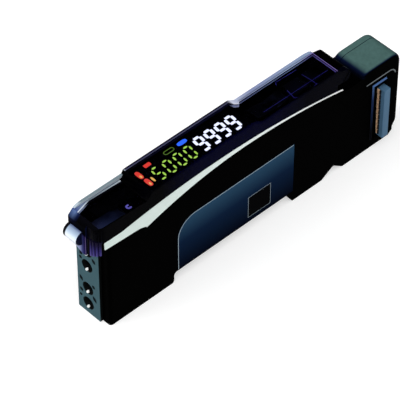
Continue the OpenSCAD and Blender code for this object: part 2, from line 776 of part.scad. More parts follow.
// A rear key: a cap with round corners on a rim that stays under the panel.
module push_key(x, length, rim_drop) {
    translate([0, 0, key_bottom_rear]) {
        linear_extrude(key_rim_t - rim_drop)
            soft_rect(x - length / 2 - key_rim, -key_w / 2 - key_rim, x + length / 2 + key_rim,
                key_w / 2 + key_rim, 0.5);
        linear_extrude(panel_rear_z + key_h - key_bottom_rear)
            soft_rect(x - length / 2, -key_w / 2, x + length / 2, key_w / 2, 0.6);
    }
}

// Two-way rocker: a key with a dished middle and trunnions in the panel's skirt.
module up_down_rocker() {
    color([0.12, 0.12, 0.14]) {
        difference() {
            push_key(rocker_x, rocker_len, rocker_lift);
            rod_y(-key_w, key_w, rocker_x, panel_rear_z + key_h + 11.6, 12);
        }
        rod_y(-skirt_y - 0.3, skirt_y + 0.3, rocker_x, rocker_z, trunnion_r);
    }
}

module mode_key() {
    color([0.12, 0.12, 0.14]) push_key(mode_x, mode_len, 0);
}

module select_key() {
    color([0.12, 0.12, 0.14]) push_key(select_x, select_len, 0);
}

// The cover's side view: lip, sloped front, raised hood over the display, rear deck.
module cover_outline(in) {
    polygon([[-front_len - lip_out + in, 0], [-front_len - lip_out + in, cover_front_z - 1.3],
        [-front_len - lip_out + 1.3 + in * 0.6, cover_front_z - in], [tower_x0 - 2.6 + in, cover_step_z - in],
        [tower_x0 - 1.4 + in, hood_z - in], [tower_x1 + 0.3 - in * 0.4, hood_z - in],
        [tower_x1 + 3.3 - in * 0.4, cover_rear_z - in], [hinge_x - 2.2 + in * 2, cover_rear_z - in],
        [hinge_x - 2.2 + in * 2, 0]]);
}

// Arms from the cover's side walls to the hinge ears, with the stubs that turn in the lug.
module hinge_ears() {
    for (s = [-1, 1]) {
        slab(s > 0 ? ear_y0 : -cover_half_w, s > 0 ? cover_half_w : -ear_y0)
            translate([hinge_x, hinge_z]) circle(ear_r);
        slab(s > 0 ? cover_in_y : -cover_half_w, s > 0 ? cover_half_w : -cover_in_y)
            polygon([[hinge_x - 3.6, hinge_z - 1.4], [hinge_x, hinge_z - ear_r], [hinge_x, hinge_z + ear_r],
                [hinge_x - 3.6, cover_rear_z - 0.4]]);
        rod_y(s > 0 ? lug_y - stub_len : -ear_y0 - past / 2, s > 0 ? ear_y0 + past / 2 : -lug_y + stub_len,
            hinge_x, hinge_z, stub_r);
    }
}

// The cover's shell before its lower edges are cut: a hollow box with the ribbed part's own front wall.
module cover_shell() {
    difference() {
        slab(-cover_half_w, cover_half_w) cover_outline(0);
        slab(-cover_in_y, cover_in_y) cover_outline(cover_t);
    }
    box([rib_x, -cover_half_w, 0], [rib_x + cover_t, lip_split + cover_t, cover_front_z - cover_t]);
    linear_extrude(cover_front_z - cover_t) difference() {
        translate([rib_x, -cover_half_w]) square(lip_corner_r);
        translate(lip_corner) circle(lip_corner_r - cover_t);
    }
}

// What the ribbed part loses at the front: a step back, and everything outside its round corner.
module lip_cut() {
    box([lip_x - past, -cover_half_w - past, -past], [rib_x, lip_split, hood_z]);
    translate([0, 0, -past]) linear_extrude(hood_z) difference() {
        translate([rib_x - past, -cover_half_w - past]) square(lip_corner_r + past);
        translate(lip_corner) circle(lip_corner_r);
    }
}

// Upright grip ribs along the flat stretch and the round corner of the ribbed part.
module grip_ribs() {
    for (i = [0:rib_count - 1]) {
        run = rib_first + i * rib_pitch;
        turn = max(run - rib_flat, 0) / lip_corner_r * 180 / PI;
        translate([lip_corner[0], lip_corner[1] + max(rib_flat - run, 0), lip_low_z - past]) rotate([0, 0, turn])
            translate([-lip_corner_r, 0, 0]) cylinder(h = tab_up + tab_r, r = rib_r, $fn = 24);
    }
}

// Clear protective cover, hinged at its rear end, with a finger tab and grip ribs at its front.
module protective_cover() {
    color([0.35, 0.36, 0.5, 0.45]) {
        difference() {
            union() {
                difference() {
                    cover_shell();
                    lip_cut();
                    slab(-cover_half_w - past, cover_half_w + past) {
                        intersection() {
                            under_arch(cover_gap);
                            translate([-front_len - face_room, -past]) square([hinge_x + front_len, open_z]);
                        }
                        translate([-front_len - face_room, -past])
                            square([arch_x - 12 + front_len, shelf_z + cover_gap + past]);
                    }
                }
                rod_y(tab_y, cover_half_w, lip_x + 0.2, lip_low_z + tab_up, tab_r);
                grip_ribs();
            }
            for (s = [-1, 1]) translate([lip_x - 2 * tab_r, 0, lip_low_z]) rotate([s * lip_slant, 0, 0])
                translate([0, -3 * case_w, -2 * lip_low_z])
                    cube([lip_out + 2 * tab_r + cover_t, 6 * case_w, 2 * lip_low_z]);
            box([-front_len - face_room, -cover_in_y, lip_low_z - 2 * past],
                [-front_len + past, cover_in_y, lip_low_z + tab_up + tab_r]);
        }
        hinge_ears();
    }
}

// Plug on the labelled side that joins the next unit: a blade on a base behind the case wall.
module connector_plug() {
    color([0.25, 0.33, 0.42]) {
        box([plug_near_x, -half_w - plug_out, plug_z0], [plug_near_x + plug_t, main_board_y, plug_z1]);
        box([plug_near_x - plug_rim, -in_y, deck_z + plug_seat_gap],
            [plug_near_x + plug_t + plug_rim, main_board_y, plug_z1 + plug_rim]);
    }
}

// Row of gilt contacts along the plug's front face.
module plug_contacts() {
    color([0.85, 0.62, 0.3]) for (i = [0:contact_count - 1])
        box([plug_near_x - contact_t, -half_w - plug_out + contact_inset, plug_z0 + (i + 0.5) * contact_pitch],
            [plug_near_x, -in_y, plug_z0 + (i + 1.25) * contact_pitch]);
}

// Socket on the far side for the neighbour's plug.
module connector_socket() {
    color([0.1, 0.1, 0.12]) difference() {
        socket_block(-past, 0);
        box([mouth[0][0], half_w - socket_depth, mouth[0][1]], [mouth[1][0], half_w + past, mouth[1][1]]);
    }
}

// Row of gilt contacts on the socket's front wall.
module socket_contacts() {
    color([0.85, 0.62, 0.3]) for (i = [0:contact_count - 1])
        box([mouth[0][0], half_w - socket_depth, plug_z0 + (i + 0.5) * contact_pitch],
            [mouth[0][0] + contact_t, half_w - 0.6, plug_z0 + (i + 1.25) * contact_pitch]);
}

// Foil label in its shallow recess.
module side_label() {
    color([0.1, 0.18, 0.28]) slab(-half_w + 0.03, -half_w + label_t + 0.03) label_outline(0);
}

main_case();
side_lid();
fibre_block();
fibre_clamp();
lock_lever();
light_emitters();
light_receivers();
main_board();
circuit_chips();
board_link();
display_board();
left_display();
right_display();
indicator_lights();
top_panel();
display_window();
tactile_switches();
tune_key();
up_down_rocker();
mode_key();
select_key();
protective_cover();
connector_plug();
plug_contacts();
connector_socket();
socket_contacts();
side_label();
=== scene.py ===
"""Looks of a slim fibre optic sensor amplifier for a 35 mm rail.

The black half shells carry a pale shoulder stripe, which is a painted reflection along the shoulder, and a
navy label, the front face is grey, and a clear violet cover lies over the lit display and the keys. All
lengths in the tables below are millimetres.
"""
import json
import math

import bmesh
import bpy
import numpy as np
from mathutils import Matrix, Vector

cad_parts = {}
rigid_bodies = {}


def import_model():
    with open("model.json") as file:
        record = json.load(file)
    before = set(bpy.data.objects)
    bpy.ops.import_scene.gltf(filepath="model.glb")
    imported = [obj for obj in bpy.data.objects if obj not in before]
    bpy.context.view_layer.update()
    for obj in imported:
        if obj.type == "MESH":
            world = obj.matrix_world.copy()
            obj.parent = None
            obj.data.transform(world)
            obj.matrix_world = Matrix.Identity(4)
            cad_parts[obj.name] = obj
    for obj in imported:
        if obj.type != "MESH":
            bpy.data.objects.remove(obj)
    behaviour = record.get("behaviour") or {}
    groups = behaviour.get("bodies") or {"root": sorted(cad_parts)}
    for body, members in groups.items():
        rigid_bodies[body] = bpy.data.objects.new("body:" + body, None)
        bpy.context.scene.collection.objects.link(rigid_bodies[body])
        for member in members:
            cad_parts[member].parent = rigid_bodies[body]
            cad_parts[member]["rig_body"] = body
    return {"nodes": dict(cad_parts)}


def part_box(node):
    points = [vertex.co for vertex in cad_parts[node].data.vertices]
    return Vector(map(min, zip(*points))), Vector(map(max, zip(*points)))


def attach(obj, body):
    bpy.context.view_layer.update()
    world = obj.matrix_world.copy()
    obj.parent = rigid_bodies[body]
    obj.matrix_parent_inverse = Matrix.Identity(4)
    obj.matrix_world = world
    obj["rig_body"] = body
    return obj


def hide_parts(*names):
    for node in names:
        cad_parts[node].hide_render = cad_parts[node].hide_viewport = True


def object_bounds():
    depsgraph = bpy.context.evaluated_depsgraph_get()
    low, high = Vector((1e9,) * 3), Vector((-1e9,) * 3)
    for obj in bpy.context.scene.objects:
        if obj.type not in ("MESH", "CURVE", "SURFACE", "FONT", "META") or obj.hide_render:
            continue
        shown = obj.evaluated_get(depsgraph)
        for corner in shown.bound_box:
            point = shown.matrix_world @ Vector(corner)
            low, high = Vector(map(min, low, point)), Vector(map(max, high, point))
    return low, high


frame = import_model()
cad_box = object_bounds()

MM = 0.001

# Shoulder stripe, a painted reflection: the arched top edge of the walls and the two arcs of the stripe's
# lower edge
ARCH_R, ARCH_X, ARCH_Z = 200.0, -4.5, 26.9
SHELF_Z, SHELF_X1 = 24.8, -16.5
BAND_X, BAND_Z = 4.0, 26.05
BAND_FRONT_R, BAND_REAR_R = 100.0, 150.0
BAND_FRONT_LINE = ((-39.3, 22.9), (-28.7, 22.3), (-26.6, 21.6))
STRIPE_X0, STRIPE_X1 = -39.0, 35.4
BAND_Y = 4.7

# Display: character cells on top of the window
WHITE_FIRST, WHITE_PITCH, WHITE_Y = -5.98, 3.24, -0.8
WHITE_CELL, WHITE_STROKE = (1.95, 4.25), 0.74
GREEN_FIRST, GREEN_PITCH, GREEN_Y = -19.3, 3.2, -1.08
GREEN_CELL, GREEN_STROKE = (1.77, 3.85), 0.5
DIGIT_SLANT = 0.1
SEGMENT_RISE = 0.03
# Signal lamps on the window: the ends of each bar, and the outline's middle, half length, radius and line
RED_PILLS = (((-22.96, 0.1), (-22.96, 2.7)), ((-22.85, -2.88), (-22.85, -0.28)))
RED_FLAG = ((-20.45, 2.55), (-18.5, 2.6))
AMBER_CORES = (((-22.96, 0.35), (-22.96, 1.25)), ((-22.85, -2.6), (-22.85, -1.7)),
               ((-21.5, -2.4), (-21.5, -0.75)))
BLUE_PILL = ((-10.4, 2.5), (-7.6, 2.5))
GREEN_PILL, GREEN_PILL_HALF, GREEN_PILL_LINE = (-13.0, 2.5), (1.4, 0.5), 0.22

# Cover: slope of its underside at the front, and the flat underside over the keys
FRONT_X, FRONT_Z = (-39.52, -25.4), (29.0, 28.3)
DECK_Z = 29.0
# Lip: front of its smooth part and of its ribbed part, the step between them, its top, the ribbed part's
# round corner, and how far back that part's wall and its ribs reach
LIP_X, RIB_X, LIP_SPLIT, LIP_TOP = -41.3, -40.8, -1.1, 26.8
CORNER, CORNER_R = (-38.6, -2.5), 2.2
RIB_WALL_X1, RIB_X1 = -39.5, -39.3
# Heights between which the painted light low on the lip gives way to that of its far corner
LIP_TURN_Z = (27.0, 28.4)
# Finger tab: the middle and radius of its roll, and its near end
TAB_X, TAB_Z, TAB_R, TAB_Y = -41.1, 24.4, 2.05, 0.1
# Rear end: where the clear top turns opaque with painted light, and where the hinge stubs begin
REAR_EDGE_X, EAR_X = (33.45, 33.5), 33.9
# Radii of its edges: the lip's uprights, the near edge of the top and the others, and where the top begins
UPRIGHT_ROUND, NEAR_ROUND, COVER_ROUND, TOP_EDGE_Z = 0.5, 0.9, 0.25, 28.0
# Far rim of the cover, opaque, with painted light: where it begins, in X and Y, how soon it is full and how
# wide its painted highlight along the inner edge is, and its colours and those of that highlight along X
RIM_X, RIM_Y = (-40.5, -35.7), (2.4, 3.85)
RIM_FADE, RIM_HIGHLIGHT_W = 0.05, (0.3, 0.4)
RIM_PAINTED_LIGHT = ((-41.3, "#141c40"), (-39.8, "#44568a"), (-38.0, "#7686a4"), (-30.0, "#6c7888"),
              (-26.4, "#7c8896"), (-25.4, "#b8c4cc"), (-24.6, "#08091c"), (6.6, "#08091c"), (7.6, "#d4d8ea"),
              (9.4, "#b4bad4"), (11.0, "#5c6488"), (20.0, "#7682a4"), (28.0, "#7c90ac"), (33.4, "#8898b8"),
              (33.8, "#54468c"))
RIM_HIGHLIGHT = ((-41.3, "#c8d4e4"), (-37.0, "#c0ccd8"), (-35.5, "#7c8a96"), (-25.2, "#c4d0d8"),
            (-24.6, "#3c3c58"), (6.6, "#42425e"), (8.0, "#f0f2fa"), (11.0, "#848eb0"), (28.0, "#98acc8"),
            (33.8, "#6c5aa4"))
# Painted glint in the corner behind the hood: where the rim widens and narrows along X, by how much, and
# what share stays
GLINT_X, GLINT_Y, GLINT_REST = (6.7, 7.3, 8.9, 9.9), 1.2, 0.2
# Upstands on the far edge of the cover: the end where each runs out, its other end, its half width and height
UPSTAND_Y, UPSTAND_Z = 4.7, 29.8
FRONT_UPSTAND = (-39.7, -25.2), 0.3, 0.75
REAR_UPSTAND = (33.3, 8.4), 0.4, 0.4
# Black field under the front, with its far front corner cut off
FIELD_OUTLINE = ((-39.4, -0.9), (-25.7, -0.9), (-25.7, 3.85), (-35.7, 3.85), (-39.4, 2.95))
# Black field under the rear edge, as ends in X and Y
REAR_FIELD = ((30.4, 33.35), (-3.85, 3.85))
# Gaps from the cover to the front field, the rear field and the printed lines, and the fields' thickness
FIELD_GAP, REAR_FIELD_GAP, LINE_GAP, FIELD_THICK = 0.03, 0.06, 0.02, 0.04
# Heights of the printed lines under the cover and elsewhere, and of the label's field
COVER_LINE_RISE, LINE_RISE, FIELD_RISE = 0.015, 0.012, 0.008
# Guide lines printed under the cover: points along each, and its width
GUIDES = (
    (((12.3, -2.0), (32.8, -2.15)), 0.1),
    (((27.3, 1.0), (27.6, -2.1), (27.6, -3.75), (26.6, -3.75)), 0.13),
    (((21.1, -0.6), (20.8, -2.4), (20.6, -3.45), (21.25, -3.8)), 0.16),
    (((20.4, 2.1), (21.0, 3.15), (27.5, 2.85)), 0.15),
)
# Guide line printed on the panel, in two stretches, its width, and the panel's height
PANEL_GUIDES = (((19.9, -3.1), (22.9, -3.1)), ((28.4, -2.95), (32.5, -2.95)))
PANEL_GUIDE_W, PANEL_Z = 0.14, 26.8
# Round mark under the cover: its middle, radius and width, and the ends of its open ring in degrees
DIAL_MARK, DIAL_MARK_R, DIAL_MARK_W, DIAL_MARK_TURN = (-29.9, -2.7), 0.5, 0.45, (50, 330)
# Height above which a key's edges belong to its cap, and their radius
CAP_Z, CAP_ROUND = 26.0, 0.15

# Fibre face: the bores, the small white dome in each that is a painted glint, and the moulded marks beside
# them, dark with painted shade, as ends in Y and Z
BORE_Y, BORE_Z = 1.55, (17.6, 12.65, 5.15, 0.2)
FUNNEL_R, FUNNEL_LEAN = 1.75, 0.458
GLINT_DOME_DEPTH, GLINT_DOME_ASIDE, GLINT_DOME_R, GLINT_DOME_RISE = 0.3, 0.35, 0.38, 0.3
FACE_MARK_W, FACE_MARK_RISE, FACE_MARK_TAPER = 1.15, 0.015, 1.3
FACE_MARKS = (
    ((3.1, 16.2), (3.9, 15.0)), ((3.4, 14.5), (4.0, 13.6)), ((-0.2, 16.4), (-1.3, 15.1)),
    ((4.2, 7.9), (3.3, 6.3)), ((0.1, 7.3), (-0.9, 6.7)), ((4.2, 3.8), (3.4, 2.7)),
    ((4.3, 1.7), (3.8, 1.0)), ((-0.1, 3.9), (-1.2, 2.2)),
)

# Rear block: where the painted light on its top grows, and where its round front meets the parting plane
BLOCK_X, BLOCK_Z = (41.3, 44.2), (18.0, 20.0)
PARTING_X, PARTING_HALF, PARTING_Z = 42.0, 1.5, 21.0
# Moulded line above the plug, grey as a painted highlight: its ends along X, its height, the radius of its
# bend, its width and its rise
BEAD_X, BEAD_Z, BEAD_R, BEAD_W, BEAD_RISE = (43.3, 53.1), 18.85, 2.0, 0.3, 0.06
# Collar round the plug: its top, how far it stands out, the limits of its walls with painted light, and the
# dark and middle heights of that painted light
COLLAR_TOP, COLLAR_OUT = 17.6, 0.6
COLLAR_X, COLLAR_Y, COLLAR_LIGHT_Z = (44.0, 45.5), -5.02, (3.0, 13.22)

# Copies of the solids: the gap within which points merge, the turn in degrees under which faces join, the
# share of the room that a round may take, the radius under which it is left out, and the half shells' radius
MERGE_GAP, FLAT_TURN, ROOM_SHARE, FINEST_ROUND = 0.002, 0.6, 0.45, 0.08
SHELL_ROUND = 0.18

# Label print: the width of its edge line, the radius of its round corner, and its field's ends in X and Z
LABEL_LINE = 0.16
LABEL_CORNER = 5.5
FIELD = (4.95, 12.1, 1.65, 8.27)

# Lamps: name, direction to each, strength and spread in degrees. World: its bright side, and its levels
LAMPS = (("key", (-0.72, 0.51, 0.47), 1.3, 50), ("top", (-0.2, -0.25, 0.95), 1.4, 80))
WORLD_SIDE, WORLD_EDGE, WORLD_LEVEL = (-0.8, -0.6, 0.0), 0.6, (0.1, 0.8)
# Half the floor's width in metres
FLOOR_REACH = 4.0

# Camera, from the photograph's viewing angle
CAMERA_AT = (-309.56, -323.60, 472.69)
CAMERA_RIGHT = (0.7289, -0.6846, -0.0002)
CAMERA_UP = (0.4934, 0.5251, 0.6934)
CAMERA_BACK = (-0.4746, -0.5055, 0.7206)
CAMERA_LENS = 251.03


# Meshes

def scene_object(name, data):
    """A new object of the scene, at the origin."""
    made = bpy.data.objects.new(name, data)
    bpy.context.scene.collection.objects.link(made)
    return made


def new_piece(name, verts, faces, material, body="case", smooth=30):
    """An object at the origin from vertices in millimetres; edges sharper than smooth degrees stay crisp."""
    mesh = bpy.data.meshes.new(name)
    mesh.from_pydata(np.asarray(verts) * MM, [], faces)
    mesh.validate()
    mesh.shade_smooth()
    mesh.set_sharp_from_angle(angle=math.radians(smooth))
    mesh.materials.append(material)
    piece = scene_object(name, mesh)
    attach(piece, body)
    return piece


def tube_faces(rings, sides, closed, copies=1):
    """Quads between neighbouring rings of a swept profile, for several copies at once. An open sweep gets
    a fan of its end ring's points at each end, so that the tube is closed."""
    ring = np.arange(rings if closed else rings - 1)[:, None]
    side = np.arange(sides)[None, :]
    after = (ring + 1) % rings
    beside = (side + 1) % sides
    quads = np.stack([ring * sides + side, ring * sides + beside,
                      after * sides + beside, after * sides + side], -1).reshape(-1, 4)
    steps = np.arange(copies)[:, None, None] * rings * sides
    faces = (quads[None] + steps).reshape(-1, 4).tolist()
    if not closed:
        first = np.arange(sides)[::-1]
        last = (rings - 1) * sides + np.arange(sides)
        for base in np.arange(copies) * rings * sides:
            faces += [(first + base).tolist(), (last + base).tolist()]
    return faces


def sweep(path, across, out, profile, closed):
    """A profile carried along a path: point = path + profile[0] * across + profile[1] * out, where across
    and out are one direction for each point of the path."""
    path, across, out, profile = (np.asarray(a, float) for a in (path, across, out, profile))
    verts = (path[:, None] + profile[None, :, :1] * across[:, None] + profile[None, :, 1:] * out[:, None])
    return verts.reshape(-1, 3), tube_faces(len(path), len(profile), closed)


def lifted(flat, z):
    """Points in X and Y with their height as the third value, which is one number or one for each point."""
    flat = np.asarray(flat, float)
    return np.concatenate([flat, np.broadcast_to(z, flat.shape[:-1])[..., None]], -1)


def line_profile(width, height):
    """A low printed line: a flat-topped hump, width across and height out, sunk a little in its ground."""
    w, h = width / 2, height
    return [(-w, -h), (w, -h), (w, h * 0.6), (w * 0.8, h), (-w * 0.8, h), (-w, h * 0.6)]


def mitred(points, out, closed):
    """Directions across a flat path, square to out, with the mitre's length at each corner: the mean of the
    two neighbouring normals, divided by the cosine of half the corner's angle."""
    points = np.asarray(points, float)
    ahead = np.roll(points, -1, 0) - points
    if not closed:
        ahead[-1] = ahead[-2]
    ahead /= np.linalg.norm(ahead, axis=1)[:, None]
    behind = np.roll(ahead, 1, 0)
    if not closed:
        behind[0] = ahead[0]
    normals = np.cross(out, ahead), np.cross(out, behind)
    mean = normals[0] + normals[1]
    mean /= np.linalg.norm(mean, axis=1)[:, None]
    return mean / np.sum(mean * normals[0], axis=1)[:, None]


def printed_line(name, points, out, width, height, closed, material, body="case"):
    """A printed line of one width along a flat path."""
    out = np.asarray(out, float)
    verts, faces = sweep(points, mitred(points, out, closed), np.tile(out, (len(points), 1)),
                         line_profile(width, height), closed)
    return new_piece(name, verts, faces, material, body)


def plate(name, outline, out, thickness, material, body="case"):
    """A thin plate: its outline on the outer face, the same outline one thickness behind it and a wall
    between. The outline is turned so that it runs anticlockwise seen from outside."""
    outline, out = np.asarray(outline, float), np.asarray(out, float)
    if np.cross(outline, np.roll(outline, -1, 0)).sum(0) @ out < 0:
        outline = outline[::-1]
    ring = np.arange(len(outline))
    after, back = np.roll(ring, -1), len(outline)
    faces = np.stack([ring, ring + back, after + back, after], -1).tolist()
    faces += [ring.tolist(), (ring[::-1] + back).tolist()]
    return new_piece(name, np.concatenate([outline, outline - out * thickness]), faces, material, body)


def bars(ends, width, rise, taper, out=(0, 0, 1), rings=9, blunt=0.04):
    """Low bars on a flat face, all at once. Each runs between two end points; its half width is
    width / 2 * (1 - |u| ** taper) ** (1 / taper) for u from -1 to 1, so a taper of 1 gives a diamond, 2 a
    round end, and larger values a bar with short round ends, and the share blunt of it is left at the ends.
    The section is a low dome towards out."""
    ends, out = np.asarray(ends, float), np.asarray(out, float)
    u = np.sin(np.linspace(-0.5, 0.5, rings) * np.pi)
    swell = np.maximum(1 - np.abs(u) ** taper, 0) ** (1 / taper)
    swell = np.maximum(swell, blunt)
    angle = np.linspace(0, np.pi, 7)
    section = np.stack([np.cos(angle), np.sin(angle)], -1)
    along = ends[:, 1] - ends[:, 0]
    across = np.cross(out, along)
    across /= np.linalg.norm(across, axis=1)[:, None]
    spine = ends.mean(1)[:, None] + along[:, None] * u[None, :, None] / 2
    wide = width / 2 * swell[None, :, None, None] * section[None, None, :, :1] * across[:, None, None]
    high = rise * section[None, None, :, 1:] * out
    verts = spine[:, :, None] + wide + high
    return verts.reshape(-1, 3), tube_faces(rings, len(section), False, len(ends))


def values(rows, name, width=1, kind=np.float32):
    """One property of all of a mesh's vertices, edges, faces or corners, as an array with a row for each."""
    flat = np.empty(len(rows) * width, kind)
    rows.foreach_get(name, flat)
    return flat.reshape(-1, width) if width > 1 else flat


def merged_copy(node):
    """A copy of a solid's mesh with its doubles merged and its flat faces joined."""
    source = frame["nodes"][node].data
    source.calc_loop_triangles()
    mesh = bpy.data.meshes.new(node + "_soft")
    mesh.from_pydata(values(source.vertices, "co", 3), [],
                     values(source.loop_triangles, "vertices", 3, np.int32).tolist())
    work = bmesh.new()
    work.from_mesh(mesh)
    bmesh.ops.remove_doubles(work, verts=work.verts, dist=MERGE_GAP * MM)
    bmesh.ops.dissolve_limit(work, angle_limit=math.radians(FLAT_TURN), verts=work.verts, edges=work.edges)
    work.to_mesh(mesh)
    work.free()
    return mesh


def edge_rounds(mesh, radius, turn):
    """Radius of the round along each edge. It is nothing where the edge's two faces turn by less than the
    given angle. Elsewhere it is the wanted radius, but at most ROOM_SHARE of the depth of either face, which
    is the face's area over the edge's length, and of each edge that branches off at its ends, and rounds too
    fine to see are left out. The wanted radius is a number, or a function of the edges' ends in
    millimetres."""
    ends = values(mesh.vertices, "co", 3)[values(mesh.edges, "vertices", 2, np.int32)] / MM
    length = np.linalg.norm(ends[:, 1] - ends[:, 0], axis=1)
    along = (ends[:, 1] - ends[:, 0]) / length[:, None]
    edge = values(mesh.loops, "edge_index", 1, np.int32)
    sides = values(mesh.polygons, "loop_total", 1, np.int32)
    face = np.repeat(np.arange(len(sides)), sides)
    normal_sum = np.zeros((len(length), 3))
    np.add.at(normal_sum, edge, values(mesh.polygons, "normal", 3)[face])
    room = np.full(len(length), np.inf)
    np.minimum.at(room, edge, values(mesh.polygons, "area")[face] / MM ** 2 / length[edge])
    corner = np.arange(len(edge)) - 1
    first = np.cumsum(sides) - sides
    corner[first] = first + sides - 1
    before = edge[corner]
    branch = np.abs((along[edge] * along[before]).sum(1)) < 0.8
    np.minimum.at(room, edge[branch], length[before[branch]])
    np.minimum.at(room, before[branch], length[edge[branch]])
    bend = np.degrees(np.arccos(np.clip((normal_sum ** 2).sum(1) / 2 - 1, -1, 1)))
    wanted = radius(ends) if callable(radius) else radius
    rounds = np.minimum(wanted, ROOM_SHARE * room)
    return np.where((bend > turn) & (rounds > FINEST_ROUND), rounds, 0)


def softened(node, radius, material, zones=(), turn=30, segments=2):
    """The finished copy of a solid, with round edges and its own material. Each zone is a further material
    with a test that picks its faces from their middles in millimetres and their normals."""
    mesh = merged_copy(node)
    mesh.shade_smooth()
    mesh.set_sharp_from_angle(angle=math.radians(turn))
    mesh.materials.append(material)
    middles = values(mesh.polygons, "center", 3).T / MM
    normals = values(mesh.polygons, "normal", 3).T
    number = np.zeros(len(mesh.polygons), np.int32)
    for place, (zone_material, test) in enumerate(zones, 1):
        mesh.materials.append(zone_material)
        number[test(middles, normals)] = place
    mesh.polygons.foreach_set("material_index", number)
    rounds = edge_rounds(mesh, radius, turn)
    weight = mesh.attributes.new("bevel_weight_edge", "FLOAT", "EDGE")
    weight.data.foreach_set("value", (rounds / rounds.max()).astype(np.float32))
    piece = scene_object(node + "_soft", mesh)
    round_off = piece.modifiers.new("edge_round", "BEVEL")
    round_off.width = rounds.max() * MM
    round_off.segments = segments
    round_off.limit_method = "WEIGHT"
    round_off.use_clamp_overlap = False
    round_off.harden_normals = True
    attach(piece, frame["nodes"][node]["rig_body"])
    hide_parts(node)
    return piece


# Materials

# Places of a Mix node's two colours and of their mixture among its sockets
MIX_A, MIX_B, MIXED = 6, 7, 2


def linear(code):
    """An sRGB hex colour as linear red, green, blue and alpha."""
    value = np.array([int(code[i:i + 2], 16) for i in (1, 3, 5)]) / 255
    return (*np.where(value <= 0.04045, value / 12.92, ((value + 0.055) / 1.055) ** 2.4), 1.0)


def add_node(tree, kind, feeds=(), **settings):
    """Adds one node with its settings; feeds gives each input a value or another node's output."""
    made = tree.nodes.new("ShaderNode" + kind)
    for name, value in settings.items():
        setattr(made, name, value)
    for name, value in dict(feeds).items():
        if isinstance(value, bpy.types.NodeSocket):
            tree.links.new(value, made.inputs[name])
        else:
            made.inputs[name].default_value = value
    return made


def start_material(name, **constants):
    """A material with a Principled shader, its constant sockets set, and its Object coordinates."""
    material = bpy.data.materials.new(name)
    material.use_nodes = True
    tree = material.node_tree
    shader = tree.nodes["Principled BSDF"]
    for socket, value in constants.items():
        shader.inputs[socket.replace("_", " ")].default_value = value
    place = add_node(tree, "TexCoord").outputs["Object"]
    return material, tree, shader, place


def mottle(tree, place, size_mm, dark, light):
    """Colour that drifts between two hex values in patches of the given size."""
    drift = add_node(tree, "TexNoise", {"Vector": place, "Scale": 1 / (size_mm * MM), "Detail": 3.0})
    return add_node(tree, "Mix", {"Factor": drift.outputs["Fac"], MIX_A: linear(dark), MIX_B: linear(light)},
                    data_type="RGBA").outputs[MIXED]


def grain(tree, shader, place, size_mm, depth_mm, rough):
    """Moulded grain: bump of the given size and depth, and roughness that follows it between two values."""
    pits = add_node(tree, "TexNoise", {"Vector": place, "Scale": 1 / (size_mm * MM), "Detail": 4.0})
    height = pits.outputs["Fac"]
    bump = add_node(tree, "Bump", {"Height": height, "Distance": depth_mm * MM, "Strength": 1.0})
    tree.links.new(bump.outputs["Normal"], shader.inputs["Normal"])
    spread = add_node(tree, "MapRange", {"Value": height, "To Min": rough[0], "To Max": rough[1]})
    tree.links.new(spread.outputs["Result"], shader.inputs["Roughness"])


def ramps(tree, place, *rows):
    """The product of colours that run along axes of the part. Each row is an axis and its stops, and each
    stop a place on that axis in millimetres and its colour."""
    product = None
    for axis, stops in rows:
        low, high = stops[0][0], stops[-1][0]
        along = add_node(tree, "SeparateXYZ", {"Vector": place}).outputs[axis]
        share = add_node(tree, "MapRange", {"Value": along, "From Min": low * MM, "From Max": high * MM})
        shade = add_node(tree, "ValToRGB", {"Fac": share.outputs["Result"]})
        marks = shade.color_ramp.elements
        marks[0].color = linear(stops[0][1])
        marks[1].color = linear(stops[-1][1])
        for at, code in stops[1:-1]:
            marks.new((at - low) / (high - low)).color = linear(code)
        colour = shade.outputs["Color"]
        if product:
            colour = add_node(tree, "Mix", {"Factor": 1.0, MIX_A: product, MIX_B: colour},
                              data_type="RGBA", blend_type="MULTIPLY").outputs[MIXED]
        product = colour
    return product


def moulded_plastic(name, dark, light, rough, grain_mm=0.3, depth_mm=0.004, specular=0.5, patch_mm=6):
    """An opaque moulded plastic: two close shades in slow patches over a fine grain."""
    material, tree, shader, place = start_material(name, IOR=1.53, Specular_IOR_Level=specular)
    tree.links.new(mottle(tree, place, patch_mm, dark, light), shader.inputs["Base Color"])
    grain(tree, shader, place, grain_mm, depth_mm, rough)
    return material


def ramp_plastic(name, rows, specular, rough, ior=1.5, grain_mm=0.8, depth_mm=0.003):
    """An opaque plastic or film whose colour runs along the part's axes, as the rows of ramps say."""
    material, tree, shader, place = start_material(name, IOR=ior, Specular_IOR_Level=specular)
    tree.links.new(ramps(tree, place, *rows), shader.inputs["Base Color"])
    grain(tree, shader, place, grain_mm, depth_mm, rough)
    return material


def stamped_metal(name, metallic, patch_mm, dark, light, grain_mm, depth_mm, rough):
    """Metal stamped from sheet: two close shades in patches, with the fine marks of rolling."""
    material, tree, shader, place = start_material(name, Metallic=metallic)
    tree.links.new(mottle(tree, place, patch_mm, dark, light), shader.inputs["Base Color"])
    grain(tree, shader, place, grain_mm, depth_mm, rough)
    return material


